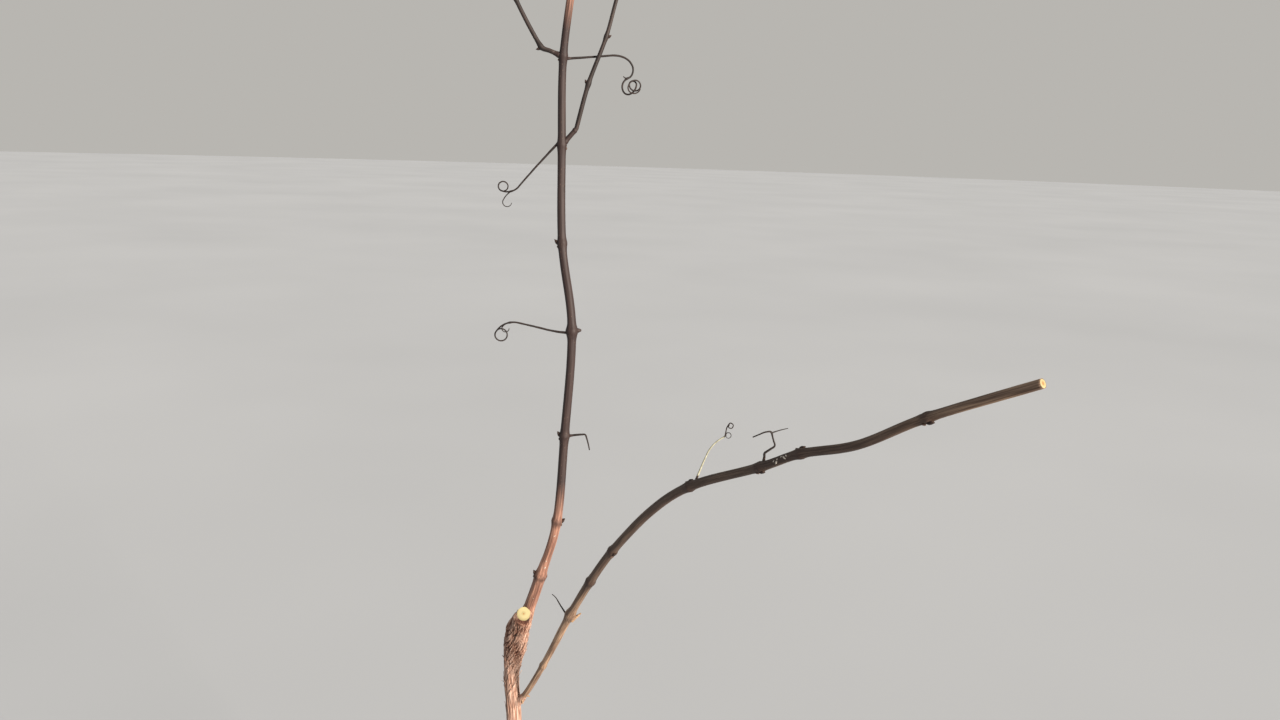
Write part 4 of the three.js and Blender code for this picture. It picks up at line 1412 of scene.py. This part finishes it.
# %% Young wood
def add_wood(bm, line, radius_at, nodes, sides=16, spacing=3.4, start=0.0):
    """Young wood round a line: ribs, swollen nodes and a rounded tip."""

    def surface(distance, angle):
        x, y = math.cos(angle), math.sin(angle)
        offset = min([distance - node for node in nodes], key=abs, default=99)
        ribs = noise.noise(Vector((x * 2.6, y * 2.6, distance / 34 + radius_at(0))))
        swell = NODE_SWELL * 1.15 * hump(offset, 4.2)
        radius = radius_at(distance)
        blunt = math.sqrt(clamp(1.02 - clamp((distance - line.total + radius) / radius) ** 2))
        return radius * (1 + swell + 0.07 * ribs) * blunt, clamp(0.5 + 0.8 * ribs), hump(offset, 4.5)

    tip = radius_at(line.total)
    rings = stations(start, line.total - tip, spacing, nodes, close=1.3, reach=9)
    return roll_sheet(bm, line, [*rings, line.total - tip * 0.5, line.total], sides, surface)


# %% Twigs with their buds and spurs
TWIG_NODES = (0.22, 0.5, 0.76)  # shares of its length
TWIG_BUD = 0.42  # size, against a cane's bud
TWIG_SPUR = [(9, 25), (7, 60)]


def add_twig(parts, node, wood, stem, others):
    """A twig with buds and spurs of its own, where there is room for it."""
    reach = between(*TWIG_REACH, node["size"])
    lean = (node["along"] + node["outward"] * TWIG_SPREAD).normalized()
    tip = node["at"] + lean * reach + UP * reach * TWIG_RISE
    middle = node["at"].lerp(tip, 0.5) + node["outward"] * reach * TWIG_BOW
    line = Line([node["at"], middle, tip], 8)
    if not all(gap_to(point, [stem]) < SPACE for point in line.samples) or not keeps_clear(line, others):
        return False
    root, end = (share * max(TIP_RADIUS * 1.5, wood) for share in TWIG_RADII)
    nodes = [line.total * share for share in TWIG_NODES]
    add_wood(parts["wood"], line, lambda d: between(root, end, d / line.total), nodes, 12, 3)
    for i, distance in enumerate(nodes):
        along = line.direction(distance)
        outward = square(SIDE, along) * (1 if (i + node["index"]) % 2 else -1)
        add_bud(line.at(distance), along, outward, root * 0.8, TWIG_BUD)
        spur = tendril_line(line.at(distance), (along - outward * 0.8).normalized(), TWIG_SPUR)
        add_whip(parts["whips"], spur, 0.45, 0.25, sides=6, spacing=1.8)
    return True


# %% Fine tendrils of the shoots
FORK_AT = 0.8  # share of the straight length


def add_side_tendril(parts, node, wood, others):
    """A thin forked tendril on the side away from the bud."""
    way = (node["along"] * SHOOT_TENDRIL_LEAN - node["outward"]).normalized()
    hand = 1 if node["chance"] < 0.5 else -1
    straight = (between(*SHOOT_TENDRIL_REACH, node["size"]), 20)
    stretches = [(length, turn * hand) for length, turn in [straight, *SHOOT_TENDRIL_HOOK]]
    line = tendril_line(node["at"], way, stretches)
    if not keeps_clear(line, others):
        return
    radius = min(SHOOT_TENDRIL_RADIUS, wood * 0.7)
    fork = straight[0] * FORK_AT
    left = line.total * between(0.68, 1, node["chance"] * 2)
    add_whip(parts["whips"], line, radius, radius * TENDRIL_TIP, sides=7, end=left, knots=[fork])
    along = line.direction(fork)
    lean = (along + UP * 0.6 * hand).normalized()
    curl = between(-270, -50, node["size"]) * hand
    bends = [(between(6, 18, node["size"]), -70 * hand), (between(6, 15, node["chance"]), curl)]
    arm = tendril_line(line.at(fork), lean, bends)
    add_whip(parts["whips"], arm, radius * 0.65, radius * 0.4, sides=6)


# %% Grow the shoots
def grow_shoot(name, plan, others):
    parts = dict(wood=bmesh.new(), whips=bmesh.new())
    line, radius = plan["line"], plan["radius"]
    carrying = plan["nodes"][:-1]
    distances = [line.node(i + 2) for i in range(len(carrying))]

    def radius_at(distance):
        return between(radius, TIP_RADIUS, distance / line.total)

    add_wood(parts["wood"], line, radius_at, distances, 20, start=ROOTED)
    for node, distance in zip(carrying, distances):
        wood = radius_at(distance)
        place = (node["at"], node["along"], node["outward"])
        grows = node["chance"] < TWIG_CHANCE and node["index"] > 1
        if not (grows and add_twig(parts, node, wood, line, others)):
            add_bud(*place, wood, max(0.6, wood / 4))
        add_scar(*place, wood, max(0.5, wood / 4.6))
        if node["index"] > plan["bare_nodes"] and node["index"] % 3:
            add_side_tendril(parts, node, wood, others)
    bark = leader_bark if name == "leader_tip" else shoot_bark
    finish_piece(parts["wood"], name + "_wood", bark, [name])
    if parts["whips"].verts:
        finish_piece(parts["whips"], name + "_whips", tendril_bark)


plans = {}
for name, settings in SIDE_SHOOTS.items():
    own = dict(settings)
    reach = own.pop("stands_out", STUMP_STANDS_OUT)
    node, way = own.pop("node"), own.pop("way")
    _, end, direction = stump(upright, node, way, stands_out=reach, radius=SHOOT_RADIUS)
    plans[name] = plan_shoot(end + direction * GAP, direction, radius=SHOOT_RADIUS, **own)
top = upright.line.total
plans["leader_tip"] = plan_shoot(
    upright.line.at(top) + upright.line.direction(top) * GAP, upright.line.direction(top),
    radius=upright.radius(top), **LEADER,
)
for name, plan in plans.items():
    other_stems = [other["line"] for other in plans.values() if other is not plan]
    grow_shoot(name, plan, [upright.line, arched.line, *other_stems])

# %% Buds, tips and scars
finish_piece(scales, "bud_scales", bud_scales)
finish_piece(wool, "bud_tips", bud_wool)
finish_piece(scars, "leaf_scars", dry_scar)

# %% [markdown]
# Triangles in all
#
# Each piece's triangles were counted as it was finished, and here their sum is printed.

# %% Measure and finish
print("triangles in all", sum(triangles.values()))
